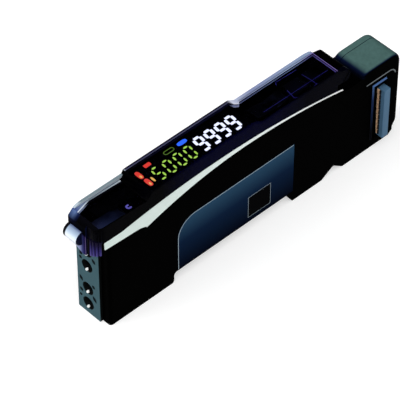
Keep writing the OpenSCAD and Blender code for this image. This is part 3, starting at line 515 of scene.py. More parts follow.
def case_abs():
    """ABS, injection moulded in a spark-eroded tool: deep black with a matt grain that scatters little. The
    level top of the rear block carries painted grey-green light, which fades through painted navy over its
    rims and its front edge."""
    material, tree, shader, place = start_material("abs_black_spark_grain_painted_light", IOR=1.53,
                                                   Specular_IOR_Level=0.0015)
    at = add_node(tree, "SeparateXYZ", {"Vector": place}).outputs
    facing = add_node(tree, "NewGeometry").outputs["Normal"]
    upward = add_node(tree, "SeparateXYZ", {"Vector": facing}).outputs["Z"]
    # Share of the painted grey-green light: upward faces of the rear block's top, fading at its front and
    # below
    share = 1.0
    for value, low, high in ((upward, 0.3, 1.0), (at["X"], BLOCK_X[0] * MM, BLOCK_X[1] * MM),
                             (at["Z"], BLOCK_Z[0] * MM, BLOCK_Z[1] * MM)):
        fade = add_node(tree, "MapRange", {"Value": value, "From Min": low, "From Max": high},
                        interpolation_type="SMOOTHSTEP").outputs["Result"]
        share = add_node(tree, "Math", {0: share, 1: fade}, operation="MULTIPLY").outputs[0]
    shade = add_node(tree, "ValToRGB", {"Fac": share})
    shade.color_ramp.elements[0].color = linear("#010101")
    shade.color_ramp.elements[1].color = linear("#506f6c")
    shade.color_ramp.elements.new(0.4).color = linear("#0b1533")
    drift = mottle(tree, place, 1.2, "#c8c8c8", "#ffffff")
    colour = add_node(tree, "Mix", {"Factor": 1.0, MIX_A: shade.outputs["Color"], MIX_B: drift},
                      data_type="RGBA", blend_type="MULTIPLY").outputs[MIXED]
    tree.links.new(colour, shader.inputs["Base Color"])
    grain(tree, shader, place, 0.3, 0.004, (0.45, 0.6))
    return material


def collar_abs():
    """The polished walls of the collar round the plug, with painted blue light at the top that dies away
    downwards.
    """
    dark, middle = COLLAR_LIGHT_Z
    stops = ((dark, "#05070f"), (middle, "#243761"), (COLLAR_TOP, "#5576ac"))
    return ramp_plastic("abs_collar_painted_light", [("Z", stops)], 0.05, (0.25, 0.35), ior=1.53, depth_mm=0.002)


def face_pbt():
    """Grey PBT of the fibre face, moulded with a soft satin sheen."""
    return moulded_plastic("pbt_grey_satin", "#304c54", "#3c5a62", (0.45, 0.6), specular=0.04)


def painted_shade_pbt():
    """The same PBT, painted near black as shade down the bores and on the face's side towards the labelled
    side.
    """
    return moulded_plastic("pbt_painted_shade", "#030505", "#070a0b", (0.45, 0.6), specular=0.03)


def cover_polycarbonate():
    """Clear polycarbonate with a violet tint, moulded in a polished tool. Its IOR is far below the plastic's
    own, so that its faces mirror very little of the white surroundings. Its far rim and its rear edge are
    opaque and carry painted light: pale at the front, navy shade along the hood and blue to purple at the
    rear, with a painted highlight along the inner edge, and a painted glint where the rim is broader and
    brighter in the corner behind the hood."""
    material, tree, shader, place = start_material("polycarbonate_violet_clear_painted_rim", IOR=1.01,
                                                   Specular_IOR_Level=0.02)
    at = add_node(tree, "SeparateXYZ", {"Vector": place}).outputs
    start = add_node(tree, "MapRange", {"Value": at["X"],
                                        "From Min": RIM_X[0] * MM, "From Max": RIM_X[1] * MM,
                                        "To Min": RIM_Y[0] * MM, "To Max": RIM_Y[1] * MM})
    widens, wide, narrows, narrow = np.array(GLINT_X) * MM
    grows = add_node(tree, "MapRange", {"Value": at["X"], "From Min": widens, "From Max": wide})
    shrinks = add_node(tree, "MapRange", {"Value": at["X"], "From Min": narrows, "From Max": narrow,
                                          "To Min": GLINT_Y * MM, "To Max": GLINT_REST * GLINT_Y * MM})
    breadth = add_node(tree, "Math", {0: grows.outputs["Result"], 1: shrinks.outputs["Result"]},
                       operation="MULTIPLY")
    start = add_node(tree, "Math", {0: start.outputs["Result"], 1: breadth.outputs[0]}, operation="SUBTRACT")
    beyond = add_node(tree, "Math", {0: at["Y"], 1: start.outputs[0]}, operation="SUBTRACT").outputs[0]
    rim = add_node(tree, "MapRange", {"Value": beyond, "From Max": RIM_FADE * MM})
    line = add_node(tree, "MapRange", {"Value": beyond, "From Min": RIM_HIGHLIGHT_W[1] * MM,
                                       "From Max": RIM_HIGHLIGHT_W[0] * MM})
    rear = add_node(tree, "MapRange", {"Value": at["X"], "From Min": REAR_EDGE_X[0] * MM,
                                       "From Max": REAR_EDGE_X[1] * MM})
    # Share of the far rim and the rear edge that is opaque and coloured with painted light
    frosted = add_node(tree, "Math", {0: rim.outputs["Result"], 1: rear.outputs["Result"]},
                       operation="MAXIMUM").outputs[0]
    lit = add_node(tree, "Mix", {"Factor": line.outputs["Result"],
                                 MIX_A: ramps(tree, place, ("X", RIM_PAINTED_LIGHT)),
                                 MIX_B: ramps(tree, place, ("X", RIM_HIGHLIGHT))}, data_type="RGBA").outputs[MIXED]
    tint = add_node(tree, "Mix", {"Factor": frosted, MIX_A: mottle(tree, place, 20, "#b4bbdc", "#c0c7e6"),
                                  MIX_B: lit}, data_type="RGBA").outputs[MIXED]
    tree.links.new(tint, shader.inputs["Base Color"])
    clear = add_node(tree, "Math", {0: 1.0, 1: frosted}, operation="SUBTRACT").outputs[0]
    tree.links.new(clear, shader.inputs["Transmission Weight"])
    grain(tree, shader, place, 3.0, 0.001, (0.02, 0.05))
    return material


def wall_polycarbonate():
    """The upright walls of the cover, seen edge on: the same plastic, painted nearly black as shade, darker
    still towards the far side. On the labelled side a painted navy sheen is left beside the display."""
    material, tree, shader, place = start_material("polycarbonate_violet_painted_shade", Transmission_Weight=0.6,
                                                   IOR=1.04)
    along = ((LIP_X, "#020206"), (-22.0, "#020206"), (-10.0, "#060732"), (12.0, "#060732"), (24.0, "#030414"))
    across = ((-3.0, "#ffffff"), (3.0, "#202020"))
    tree.links.new(ramps(tree, place, ("X", along), ("Y", across)), shader.inputs["Base Color"])
    grain(tree, shader, place, 3.0, 0.001, (0.02, 0.05))
    return material


def front_upstand_polycarbonate():
    """The front upstand of the cover, coloured with painted light: grey-blue on top, with a painted highlight
    on its inner side.
    """
    top = UPSTAND_Z + FRONT_UPSTAND[2]
    stops = ((UPSTAND_Z, "#b8c6d2"), (top - 0.2, "#aebcc8"), (top - 0.05, "#74868e"), (top + 0.1, "#74868e"))
    return ramp_plastic("polycarbonate_upstand_painted_highlight", [("Z", stops)], 0.03, (0.3, 0.45))


def rear_upstand_polycarbonate():
    """The rear upstand of the cover, coloured with painted light: a painted glint behind the hood, then
    lilac, and blue-grey to the rear edge.
    """
    rear, front = REAR_UPSTAND[0]
    stops = ((front, "#c4cce0"), (10.5, "#a0a8c4"), (14.0, "#808aae"), (28.0, "#8696b4"), (rear, "#8a9cba"))
    return ramp_plastic("polycarbonate_upstand_painted_light", [("X", stops)], 0.03, (0.3, 0.45))


def lip_polycarbonate():
    """The thick front lip, frosted by its tool, with painted light and shade: pale under the finger tab, deep
    violet towards the step with a painted highlight on the step's edge, painted black shade above the tab,
    and painted blue light again in the far corner under the rim."""
    material, tree, shader, place = start_material("polycarbonate_lip_painted_light", IOR=1.5,
                                                   Specular_IOR_Level=0.004)
    low = ramps(tree, place,
                ("Y", ((LIP_SPLIT, "#7c6c9c"), (-1.02, "#6a5c90"), (-0.94, "#140e36"), (-0.4, "#221e50"),
                       (TAB_Y, "#363a6c"), (1.0, "#7c84aa"), (UPSTAND_Y, "#b8c0d8"))),
                ("Z", ((25.4, "#ffffff"), (26.0, "#080810"))))
    corner = ramps(tree, place,
                   ("Y", ((1.7, "#040408"), (2.4, "#141e44"), (3.4, "#566c98"), (4.3, "#445a88"),
                          (UPSTAND_Y, "#0c1434"))),
                   ("Z", ((28.2, "#20284c"), (29.7, "#ffffff"))))
    height = add_node(tree, "SeparateXYZ", {"Vector": place}).outputs["Z"]
    share = add_node(tree, "MapRange", {"Value": height, "From Min": LIP_TURN_Z[0] * MM,
                                        "From Max": LIP_TURN_Z[1] * MM}).outputs["Result"]
    colour = add_node(tree, "Mix", {"Factor": share, MIX_A: low, MIX_B: corner}, data_type="RGBA")
    tree.links.new(colour.outputs[MIXED], shader.inputs["Base Color"])
    grain(tree, shader, place, 0.8, 0.003, (0.3, 0.45))
    return material


def tab_polycarbonate():
    """The finger tab, a frosted roll coloured with painted light: a painted highlight white across its front,
    blue-grey below and on top, and painted navy shade at its far end."""
    stops = ((22.3, "#bcc4da"), (23.6, "#d0d8e6"), (24.6, "#eef4fa"), (25.2, "#d4e0ec"), (25.8, "#a8bace"),
             (26.3, "#8a9cb8"), (26.45, "#4c5a84"))
    end = ((3.6, "#ffffff"), (3.8, "#080810"))
    return ramp_plastic("polycarbonate_tab_painted_light", [("Z", stops), ("Y", end)], 0.03, (0.3, 0.45))


def lip_end_polycarbonate():
    """The near end of the finger tab and the step beside the ribs, painted navy as shade."""
    return moulded_plastic("polycarbonate_lip_painted_shade", "#060a1e", "#0c1232", (0.3, 0.4), specular=0.05,
                           patch_mm=1.5)


def rib_ground_polycarbonate():
    """The lip between its ribs: dark violet, with painted shade that turns it black upwards."""
    stops = ((19.5, "#22184c"), (24.0, "#100a2c"), (26.0, "#020206"))
    return ramp_plastic("polycarbonate_rib_ground_painted_shade", [("Z", stops)], 0.01, (0.3, 0.4))


def rib_polycarbonate():
    """The grip ribs, whose round backs carry painted violet light, most of it low down, fading to painted
    shade above.
    """
    stops = ((19.5, "#6e64a0"), (21.2, "#463e80"), (23.0, "#2c2660"), (24.5, "#120b2c"), (26.4, "#06040c"))
    end = ((-2.1, "#ffffff"), (-1.7, "#080810"))
    return ramp_plastic("polycarbonate_ribs_painted_light", [("Z", stops), ("Y", end)], 0.03, (0.3, 0.4))


def panel_gloss_abs():
    """Black ABS with a polished face, under the cover."""
    return moulded_plastic("abs_black_polished", "#020203", "#050507", (0.25, 0.35), 1.5, 0.001,
                           specular=0.05)


def window_acrylic():
    """Smoked acrylic over the display: almost black, with a polished face."""
    return moulded_plastic("acrylic_smoke_polished", "#010102", "#040406", (0.1, 0.2), 4, 0.001,
                           specular=0.05)


def key_abs():
    """Key caps of black ABS with a satin face."""
    return moulded_plastic("abs_key_satin", "#040408", "#08080f", (0.35, 0.5), specular=0.05)


def lever_abs():
    """Dark ABS of the lever, half polished, with a painted blue-grey sheen on its thumb plate that fades to
    black towards its axle.
    """
    stops = ((-38.4, "#5a6072"), (-35.0, "#2c3240"), (-31.0, "#0a0b12"))
    return ramp_plastic("abs_lever_painted_sheen", [("X", stops)], 0.1, (0.25, 0.4))


def stripe_paint():
    """Pale satin colour on the film in the shoulder band, a painted reflection along the shoulder, with a
    faint
    orange peel: greenish where it is broad at the front, white where it thins out to the rear."""
    stops = ((STRIPE_X0, "#e0f0ea"), ((STRIPE_X0 + STRIPE_X1) / 2, "#e8f4f0"), (STRIPE_X1, "#ffffff"))
    return ramp_plastic("stripe_painted_reflection", [("X", stops)], 0.2, (0.35, 0.45), grain_mm=0.5, depth_mm=0.002)


def label_polyester():
    """Printed polyester film: navy that pales from the lower edge to the upper, under a laminate that
    mirrors next to nothing."""
    low, high = (corner.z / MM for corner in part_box("side_label"))
    stops = ((low, "#000414"), (low + 0.55 * (high - low), "#0b1f3a"), (high, "#2a4a64"))
    return ramp_plastic("polyester_label_navy", [("Z", stops)], 0.002, (0.25, 0.35), ior=1.55, grain_mm=0.6,
                        depth_mm=0.001)


def ink(name, dark, light):
    """Screen-printed ink, and the same flat colour for marks of painted light and shade: nearly flat, with
    the slight mottle of the mesh.
    """
    return moulded_plastic(name, dark, light, (0.45, 0.6), 0.25, 0.001, specular=0.003, patch_mm=1.5)


def plug_pbt():
    """Blue-grey glass-filled PBT of the connector."""
    return moulded_plastic("pbt_glass_filled_blue", "#44647f", "#557a98", (0.4, 0.55), 0.2, specular=0.08)


def socket_pbt():
    """Black PBT of the socket on the far side."""
    return moulded_plastic("pbt_black_socket", "#08080a", "#101014", (0.4, 0.55), specular=0.3)


def gilt():
    """Gold plate on stamped contacts, dull, so that it is only part metal to the eye."""
    return stamped_metal("gold_plate_stamped", 0.6, 0.8, "#dcae84", "#f4d0ac", 0.1, 0.002, (0.4, 0.55))


def tipped_gilt():
    """The plug's contacts: gold plate near the case, near black on their outer halves."""
    stops = ((-5.9, "#0a0a0e"), (-5.55, "#101014"), (-5.5, "#e0b48c"), (-5.0, "#f0c8a4"))
    return ramp_plastic("gold_plate_dark_tips", [("Y", stops)], 0.3, (0.4, 0.55))


def board_resist():
    """Glass-fibre board under green solder resist."""
    return moulded_plastic("board_green_resist", "#123a22", "#1b4d2e", (0.3, 0.4), grain_mm=0.5, patch_mm=2)


def chip_epoxy():
    """Moulded epoxy of the packages on the boards."""
    return moulded_plastic("epoxy_black_moulded", "#141416", "#1e1e21", (0.5, 0.65))


def switch_steel():
    """Stamped stainless steel of the press switches."""
    return stamped_metal("stainless_stamped", 1.0, 1.0, "#a8a8aa", "#c4c4c6", 0.15, 0.001, (0.25, 0.4))


def clamp_resin():
    """Natural resin of the clamp plate."""
    return moulded_plastic("pom_natural", "#c4c2b6", "#d2d0c6", (0.35, 0.45))


def lamp(name, core, edge, strength):
    """A lit segment: tinted resin that glows, with a slightly uneven light."""
    material, tree, shader, place = start_material(name, Roughness=0.3, Emission_Strength=strength)
    tree.links.new(mottle(tree, place, 0.9, core, edge), shader.inputs["Emission Color"])
    tree.links.new(mottle(tree, place, 0.9, "#101010", "#181818"), shader.inputs["Base Color"])
    return material


# Pieces

def stripe_edges(x):
    """Heights of the stripe's lower and upper edge along x: two arcs and a straight front below, the case's
    arch or its front shelf above."""
    front = BAND_Z - BAND_FRONT_R + np.sqrt(BAND_FRONT_R ** 2 - (x - BAND_X) ** 2)
    rear = BAND_Z - BAND_REAR_R + np.sqrt(BAND_REAR_R ** 2 - (x - BAND_X) ** 2)
    line = np.interp(x, *np.transpose(BAND_FRONT_LINE))
    lower = np.where(x < BAND_FRONT_LINE[-1][0], line, np.where(x < BAND_X, front, rear))
    arch = ARCH_Z - ARCH_R + np.sqrt(ARCH_R ** 2 - (x - ARCH_X) ** 2)
    return lower, np.where(x < SHELF_X1, np.maximum(arch, SHELF_Z), arch)


def shoulder_stripe(name, side, material):
    """The stripe's film, which carries the painted reflection: at each x a closed section whose outer face
    leans from the case's side at the lower edge to the recessed wall at the upper one."""
    half_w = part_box("side_lid")[1].y / MM
    corners = [point[0] for point in BAND_FRONT_LINE[1:]]
    x = np.unique(np.concatenate([np.linspace(STRIPE_X0, STRIPE_X1, 181), corners]))
    lower, upper = stripe_edges(x)
    depth = np.array([0.02, half_w - BAND_Y - 0.02, half_w - BAND_Y + 0.05, half_w - BAND_Y + 0.05])
    share = np.array([0.01, 0.995, 0.995, 0.01])
    y = side * (half_w - depth)
    z = lower[:, None] + (upper - lower)[:, None] * share
    verts = np.stack([np.repeat(x[:, None], 4, 1), np.repeat(y[None], len(x), 0), z], -1)
    if side > 0:
        verts = verts[:, ::-1]
    return new_piece(name, verts.reshape(-1, 3), tube_faces(len(x), 4, False), material)


SEGMENTS = {"a": ((-1, 1), (1, 1)), "b": ((1, 1), (1, 0)), "c": ((1, 0), (1, -1)), "d": ((-1, -1), (1, -1)),
            "e": ((-1, 0), (-1, -1)), "f": ((-1, 1), (-1, 0)), "g": ((-1, 0), (1, 0))}
LIT = {"9": "abcdfg", "5": "acdfg", "0": "abcdef"}


def digits(name, text, first_x, pitch, middle_y, cell, stroke, gap, taper, material):
    """Seven-segment digits on the window: each lit segment is a bar between the ends that its slanted cell
    gives, shortened by a gap at both ends."""
    ends = []
    for place, character in enumerate(text):
        for letter in LIT[character]:
            spot = np.array(SEGMENTS[letter]) * np.array(cell) / 2
            spot[:, 0] += DIGIT_SLANT * spot[:, 1]
            ends.append(spot + (first_x + place * pitch, middle_y))
    ends = np.array(ends)
    along = ends[:, 1] - ends[:, 0]
    along *= (gap / np.linalg.norm(along, axis=1))[:, None]
    ends = np.stack([ends[:, 0] + along, ends[:, 1] - along], 1)
    return lamp_bars(name, ends, stroke, taper, material)


def lamp_bars(name, rows, width, taper, material, rise=SEGMENT_RISE):
    """Lit bars on the window: one for each row of two end points."""
    verts, faces = bars(lifted(rows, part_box("display_window")[1].z / MM), width, rise, taper)
    return new_piece(name, verts, faces, material)


def green_pill(material):
    """Outline of a signal lamp: two half circles joined by straight lines."""
    turn = np.linspace(-np.pi / 2, np.pi / 2, 9)
    half, r = GREEN_PILL_HALF
    end = np.stack([half - r + r * np.cos(turn), r * np.sin(turn)], -1)
    path = lifted(np.concatenate([end, -end]) + GREEN_PILL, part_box("display_window")[1].z / MM)
    return printed_line("green_pill", path, (0, 0, 1), GREEN_PILL_LINE, SEGMENT_RISE, True, material)


def cover_field(material):
    """Black fields under the cover: one on the slope at its front, one along its rear edge."""
    slope = np.interp([x for x, y in FIELD_OUTLINE], FRONT_X, FRONT_Z)
    plate("cover_field", lifted(FIELD_OUTLINE, slope - FIELD_GAP), (0, 0, 1), FIELD_THICK, material, "cover")
    (x0, x1), (y0, y1) = REAR_FIELD
    outline = lifted([(x0, y0), (x1, y0), (x1, y1), (x0, y1)], DECK_Z - REAR_FIELD_GAP)
    plate("cover_rear_field", outline, (0, 0, 1), FIELD_THICK, material, "cover")


def cover_upstand(name, ends, half, height, material):
    """A low upstand along the far edge of the cover, flush with its side, which runs out at its first end."""
    x = np.linspace(*ends, 15)
    tall = height * np.minimum(1, 0.2 + np.abs(x - x[0]) / 2)
    path = lifted(np.column_stack([x, np.full_like(x, UPSTAND_Y - half)]), UPSTAND_Z)
    across = np.tile((0, np.sign(x[-1] - x[0]), 0), (len(x), 1))
    profile = [(-half, -0.02), (half, -0.02), (half, 0.8), (0.6 * half, 1), (-0.6 * half, 1), (-half, 0.8)]
    verts, faces = sweep(path, across, tall[:, None] * (0, 0, 1), profile, False)
    return new_piece(name, verts, faces, material, "cover")


def cover_guides(material, mark_material):
    """Guide lines printed under the cover over the keys, and a round mark over the dial key."""
    down = (0, 0, -1)
    for number, (points, width) in enumerate(GUIDES):
        printed_line(f"cover_guide_{number}", lifted(points, DECK_Z - LINE_GAP), down, width, COVER_LINE_RISE,
                     False, material, "cover")
    turn = np.radians(np.linspace(*DIAL_MARK_TURN, 25))
    flat = DIAL_MARK + DIAL_MARK_R * np.stack([np.cos(turn), np.sin(turn)], -1)
    path = lifted(flat, np.interp(flat[:, 0], FRONT_X, FRONT_Z) - LINE_GAP)
    printed_line("cover_dial_mark", path, down, DIAL_MARK_W, COVER_LINE_RISE, False, mark_material, "cover")


def panel_guides(material):
    """Guide line printed on the panel beside the rear keys."""
    for number, points in enumerate(PANEL_GUIDES):
        printed_line(f"panel_guide_{number}", lifted(points, PANEL_Z), (0, 0, 1), PANEL_GUIDE_W, LINE_RISE,
                     False, material)


def face_marks(material):
    """Small wedge-shaped marks moulded into the fibre face beside the bores, drawn as low bars whose dark
    colour is painted shade.
    """
    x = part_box("fibre_block")[0].x / MM
    ends = np.array(FACE_MARKS)
    ends = np.concatenate([np.full(ends.shape[:2] + (1,), x), ends], -1)
    verts, faces = bars(ends, FACE_MARK_W, FACE_MARK_RISE, FACE_MARK_TAPER, out=(-1, 0, 0))
    return new_piece("face_marks", verts, faces, material)


def funnel_glints(material):
    """A small white dome low in each funnel, a painted glint: a round dome on the cone, which leans in by
    FUNNEL_LEAN for each millimetre of depth."""
    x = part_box("fibre_block")[0].x / MM + GLINT_DOME_DEPTH
    tangent = np.array([1, 0, FUNNEL_LEAN]) / math.hypot(1, FUNNEL_LEAN)
    out = np.array([-tangent[2], 0, tangent[0]])
    foot = FUNNEL_R - FUNNEL_LEAN * GLINT_DOME_DEPTH
    middle = np.array([[x, BORE_Y + GLINT_DOME_ASIDE, z - foot] for z in BORE_Z])
    ends = np.stack([middle - GLINT_DOME_R * tangent, middle + GLINT_DOME_R * tangent], 1)
    verts, faces = bars(ends, 2 * GLINT_DOME_R, GLINT_DOME_RISE, 2, out=out)
    return new_piece("funnel_glints", verts, faces, material)


def plug_bead(material):
    """Fine moulded line above the plug, straight and then bent down in a quarter circle at its rear end,
    coloured grey as a painted highlight.
    """
    turn = np.linspace(np.pi / 2, 0.15, 13)
    bend = np.array([BEAD_X[1], BEAD_Z]) - BEAD_R + BEAD_R * np.stack([np.cos(turn), np.sin(turn)], -1)
    x, z = np.concatenate([[[BEAD_X[0], BEAD_Z]], bend]).T
    y = np.full_like(x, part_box("main_case")[0].y / MM + COLLAR_OUT)
    path = np.column_stack([x, y, z])
    return printed_line("plug_bead", path, (0, -1, 0), BEAD_W, BEAD_RISE, False, material)


def label_outline(inset):
    """The label's edge, seen from the side, with one round corner at the upper front, moved in by inset."""
    low, high = (np.array(corner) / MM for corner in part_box("side_label"))
    x0, x1, z0, z1 = low[0] + inset, high[0] - inset, low[2] + inset, high[2] - inset
    turn = np.linspace(np.pi, np.pi / 2, 17)
    r = LABEL_CORNER - inset
    arc = np.stack([x0 + r + r * np.cos(turn), z1 - r + r * np.sin(turn)], -1)
    flat = np.concatenate([[[x1, z0], [x0, z0]], arc, [[x1, z1]]])
    return np.stack([flat[:, 0], np.full(len(flat), low[1]), flat[:, 1]], -1)


def label_print(line_ink, field_ink):
    """Pale line along the label's front and top edge, and a dark square field with its own thin outline."""
    near = (0, -1, 0)
    edge = label_outline(LABEL_LINE)[1:]
    printed_line("label_border", edge, near, LABEL_LINE, LINE_RISE, False, line_ink)
    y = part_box("side_label")[0].y / MM
    x0, x1, z0, z1 = FIELD
    ring = np.array([[x0, y, z0], [x0, y, z1], [x1, y, z1], [x1, y, z0]])
    printed_line("label_field_outline", ring, near, LABEL_LINE / 2, LINE_RISE, True, line_ink)
    middle = np.array([[x0, y, (z0 + z1) / 2], [x1, y, (z0 + z1) / 2]])
    printed_line("label_field", middle, near, z1 - z0, FIELD_RISE, False, field_ink)


def floor(material):
    """A level floor under the feet, wide enough to fill every view."""
    mesh = bpy.data.meshes.new("floor")
    corners = np.array([(-1, -1), (1, -1), (1, 1), (-1, 1)]) * FLOOR_REACH
    mesh.from_pydata(lifted(corners, cad_box[0][2]), [], [(0, 1, 2, 3)])
    mesh.materials.append(material)
    piece = scene_object("floor", mesh)


def floor_paper():
    """Matt white paper. The rays that see it as a background add a share of plain white, so that it stays
    white while it keeps a soft shadow."""
    material, tree, shader, place = start_material("floor_paper_white", Roughness=0.9, Specular_IOR_Level=0.0,
                                                   Emission_Color=(1, 1, 1, 1))
    tree.links.new(mottle(tree, place, 400, "#d0d0d0", "#d2d2d2"), shader.inputs["Base Color"])
    path = add_node(tree, "LightPath").outputs
    seen = add_node(tree, "Math", {0: path["Is Camera Ray"], 1: path["Is Glossy Ray"]}, operation="ADD")
    seen = add_node(tree, "Math", {0: seen.outputs[0], 1: path["Is Transmission Ray"]}, operation="ADD",
                    use_clamp=True)
    seen = add_node(tree, "Math", {0: seen.outputs[0], 1: 0.5}, operation="MULTIPLY")
    tree.links.new(seen.outputs[0], shader.inputs["Emission Strength"])
    return material


# Light and camera

def studio():
    """A broad soft key from the far left, a softer one from above, and a pale world that darkens to the
    right."""
    for name, toward, strength, spread in LAMPS:
        light = bpy.data.lights.new(name, "SUN")
        light.energy = strength
        light.angle = math.radians(spread)
        direction = np.array(toward) / np.linalg.norm(toward)
        side = np.cross((0, 1, 0), direction)
        side /= np.linalg.norm(side)
        turn = np.stack([side, np.cross(direction, side), direction], 1)
        scene_object(name, light).matrix_world = Matrix(turn.tolist()).to_4x4()
    world = bpy.data.worlds.new("studio")
    bpy.context.scene.world = world
    world.use_nodes = True
    tree = world.node_tree
    where = add_node(tree, "TexCoord").outputs["Generated"]
    lean = add_node(tree, "VectorMath", {0: where, 1: WORLD_SIDE}, operation="DOT_PRODUCT").outputs["Value"]
    level = add_node(tree, "MapRange", {"Value": lean, "From Min": -WORLD_EDGE, "From Max": WORLD_EDGE,
                                        "To Min": WORLD_LEVEL[0], "To Max": WORLD_LEVEL[1]},
                     interpolation_type="SMOOTHSTEP")
    tree.links.new(level.outputs["Result"], tree.nodes["Background"].inputs["Strength"])
    tree.nodes["Background"].inputs["Color"].default_value = (1, 1, 1, 1)


def photo_camera():
    """The camera at the photograph's angle, with a long lens."""
    data = bpy.data.cameras.new("photo_camera")
    data.lens = CAMERA_LENS
    data.sensor_width = 36
    camera = scene_object("photo_camera", data)
    turn = Matrix(np.stack([CAMERA_RIGHT, CAMERA_UP, CAMERA_BACK], 1).tolist()).to_4x4()
    camera.matrix_world = Matrix.Translation(np.array(CAMERA_AT) * MM) @ turn
    bpy.context.scene.camera = camera


# Zones of the softened solids, and the radii of their edges

def collar_walls(middle, normal):
    """The collar's outer walls towards the front and the top, which take the painted light."""
    outside = middle[1] < COLLAR_Y
    front = (middle[0] < COLLAR_X[1]) & (normal[0] < -0.7)
    top = (middle[2] > COLLAR_TOP - 0.05) & (normal[2] > 0.7) & (middle[0] > COLLAR_X[0])
    return outside & (front | top)


def bore_walls(middle, normal):
    """The walls of the fibre bores and their funnels, painted dark as shade."""
    reach = [np.hypot(middle[1] - BORE_Y, middle[2] - z) < FUNNEL_R for z in BORE_Z]
    return np.any(reach, axis=0) & (normal[0] > -0.9)


def face_sides(middle, normal):
    """The narrow side of the fibre face that looks to the labelled side, painted dark as shade."""
    return normal[1] < -0.7


def cover_walls(middle, normal):
    """The upright and steep faces of the cover, and its hinge stubs, which take the painted shade of the
    walls.
    """
    return (np.abs(normal[2]) < 0.75) | (middle[0] > EAR_X)


def lip_faces(middle, normal):
    """The front of the lip's smooth part, below the tab's top."""
    return (middle[0] < LIP_X + 0.05) & (middle[2] < LIP_TOP) & (normal[0] < -0.5)


def lip_bevel(middle, normal):
    """The bevel between the lip's front and the cover's top."""
    return (normal[0] < -0.6) & (normal[2] > 0.6) & (middle[2] > LIP_TOP)


def tab_faces(middle, normal):
    """The round face of the finger tab."""
    on_roll = np.abs(np.hypot(middle[0] - TAB_X, middle[2] - TAB_Z) - TAB_R) < 0.1
    return on_roll & (middle[0] < LIP_X + 0.3) & (middle[1] > TAB_Y) & (np.abs(normal[1]) < 0.5)


def lip_ends(middle, normal):
    """The tab's near end, and the step beside the ribs."""
    return (middle[0] < RIB_X) & (middle[2] < LIP_TOP) & (normal[1] < -0.7) & (middle[1] > LIP_SPLIT - 0.1)


def rib_rise(middle):
    """How far a point stands out from the wall that carries the ribs, on its flat stretch and its corner."""
    round_part = np.hypot(middle[0] - CORNER[0], middle[1] - CORNER[1]) - CORNER_R
    return np.where(middle[1] > CORNER[1], RIB_X - middle[0], round_part)


def ribbed_part(middle, rear_x):
    """The ribbed part of the lip, as far back as rear_x."""
    return (middle[0] < rear_x) & (middle[1] < LIP_SPLIT) & (middle[2] < LIP_TOP)


def rib_ground(middle, normal):
    """The wall that carries the ribs."""
    return ribbed_part(middle, RIB_WALL_X1) & (np.abs(rib_rise(middle)) < 0.05)


def rib_faces(middle, normal):
    """The grip ribs on the lip."""
    return ribbed_part(middle, RIB_X1) & (rib_rise(middle) > 0.02)


def cover_radii(ends):
    """Radii of the cover's edges: large along the near edge of its top, smaller on the lip's uprights, fine
    elsewhere, and none round the ribs."""
    x, y, z = np.moveaxis(ends, 2, 0)
    outer = (np.abs(y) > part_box("protective_cover")[1].y / MM - 0.01).all(1)
    upright = outer & (x.max(1) < LIP_X + 0.1)
    near_top = outer & (z.min(1) > TOP_EDGE_Z) & (y.max(1) < 0)
    radii = np.where(upright, UPRIGHT_ROUND, np.where(near_top, NEAR_ROUND, COVER_ROUND))
    return np.where((x.min(1) < CORNER[0] + 0.1) & (y.min(1) < LIP_SPLIT + 0.1), 0, radii)


def lid_radii(ends):
    """Radii of the far shell's edges: fine, and none where the rear block's round front meets the parting
    plane."""
    x, y, z = np.moveaxis(ends, 2, 0)
    meeting = (np.abs(x - PARTING_X) < PARTING_HALF).all(1) & (z > PARTING_Z).all(1)
    return np.where(meeting, 0, SHELL_ROUND)


def cap_radii(ends):
    """Radii of a key's edges: only the edges of its cap above the panel are round."""
    return np.where(ends[:, :, 2].min(1) > CAP_Z, CAP_ROUND, 0)


def dress(node, material):
    """Gives a solid that keeps its shape its own material."""
    slots = frame["nodes"][node].data.materials
    slots.clear()
    slots.append(material)


# Build

bpy.context.scene.view_settings.view_transform = "Standard"
photo_camera()
studio()
floor(floor_paper())

black = case_abs()
softened("main_case", SHELL_ROUND, black, [(collar_abs(), collar_walls)])
softened("side_lid", lid_radii, black)
# Painted shade: a near-black copy of the face's PBT down the bores and on the face's labelled side
dim = painted_shade_pbt()
softened("fibre_block", 0.12, face_pbt(), [(dim, bore_walls), (dim, face_sides)])
softened("lock_lever", 0.15, lever_abs())
softened("top_panel", 0.12, panel_gloss_abs())
softened("display_window", 0.1, window_acrylic())
# The cover's rim, rear edge, walls, upstands, lip, tab, step and ribs carry painted light and shade in their
# colours
lip = lip_polycarbonate()
softened("protective_cover", cover_radii, cover_polycarbonate(),
         [(wall_polycarbonate(), cover_walls), (lip, lip_faces), (lip, lip_bevel),
          (tab_polycarbonate(), tab_faces), (lip_end_polycarbonate(), lip_ends),
          (rib_ground_polycarbonate(), rib_ground), (rib_polycarbonate(), rib_faces)], segments=4)
keys = key_abs()
for key in ("tune_key", "up_down_rocker", "mode_key", "select_key"):
    softened(key, cap_radii, keys)
softened("connector_plug", 0.15, plug_pbt())
softened("connector_socket", 0.12, socket_pbt())

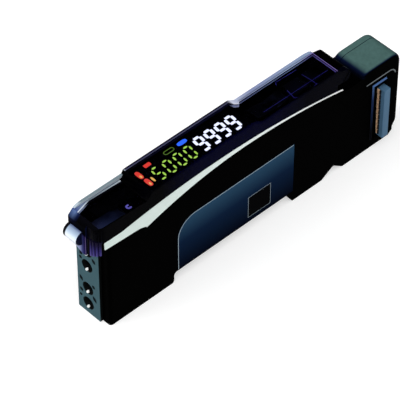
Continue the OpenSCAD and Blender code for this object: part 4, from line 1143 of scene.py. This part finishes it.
for finish, nodes in (
    (clamp_resin(), ["fibre_clamp"]),
    (lamp("emitter_resin_red", "#b01c14", "#d03020", 0.2), ["light_emitters"]),
    (lamp("light_guide_red", "#b01c14", "#d03020", 0.2), ["indicator_lights"]),
    (chip_epoxy(), ["light_receivers", "circuit_chips", "board_link", "left_display", "right_display"]),
    (board_resist(), ["main_board", "display_board"]),
    (switch_steel(), ["tactile_switches"]),
    (tipped_gilt(), ["plug_contacts"]),
    (gilt(), ["socket_contacts"]),
    (label_polyester(), ["side_label"]),
):
    for node in nodes:
        dress(node, finish)

# The pale shoulder stripe on both sides is a painted reflection
pale = stripe_paint()
shoulder_stripe("stripe_near", -1, pale)
shoulder_stripe("stripe_far", 1, pale)
label_print(ink("ink_pale_grey", "#a0b2be", "#b4c6d0"), ink("ink_black", "#010102", "#030304"))

digits("white_digits", "9999", WHITE_FIRST, WHITE_PITCH, WHITE_Y, WHITE_CELL, WHITE_STROKE, gap=0.22, taper=5,
       material=lamp("led_white", "#ffffff", "#fff8e8", 1.9))
digits("green_digits", "5000", GREEN_FIRST, GREEN_PITCH, GREEN_Y, GREEN_CELL, GREEN_STROKE, gap=0.3, taper=2,
       material=lamp("led_green", "#a0dc30", "#d0f060", 1.5))
red = lamp("led_red", "#f03020", "#ff5038", 1.5)
lamp_bars("red_flag", [RED_FLAG], width=1.05, taper=8, material=red)
lamp_bars("red_pills", RED_PILLS, width=1.2, taper=3, material=red)
lamp_bars("amber_cores", AMBER_CORES, width=0.55, taper=2.5,
          material=lamp("led_amber", "#ffb040", "#ffd060", 1.5), rise=2 * SEGMENT_RISE)
lamp_bars("blue_pill", [BLUE_PILL], width=1.2, taper=3, material=lamp("led_blue", "#2060f0", "#4888ff", 1.5))
green_pill(lamp("led_green_dim", "#587818", "#789c2c", 1.0))

violet = ink("ink_violet", "#3e367c", "#544a98")
cover_field(ink("ink_black_field", "#010102", "#030304"))
cover_upstand("front_upstand", *FRONT_UPSTAND, front_upstand_polycarbonate())
cover_upstand("rear_upstand", *REAR_UPSTAND, rear_upstand_polycarbonate())
cover_guides(violet, ink("ink_violet_light", "#6a5fb4", "#8478c8"))
panel_guides(violet)
face_marks(ink("mark_painted_shade", "#0a1012", "#10181b"))
funnel_glints(ink("painted_glint_white", "#f4fafa", "#ffffff"))
plug_bead(ink("bead_painted_highlight", "#6c7276", "#82888c"))

bpy.context.view_layer.update()
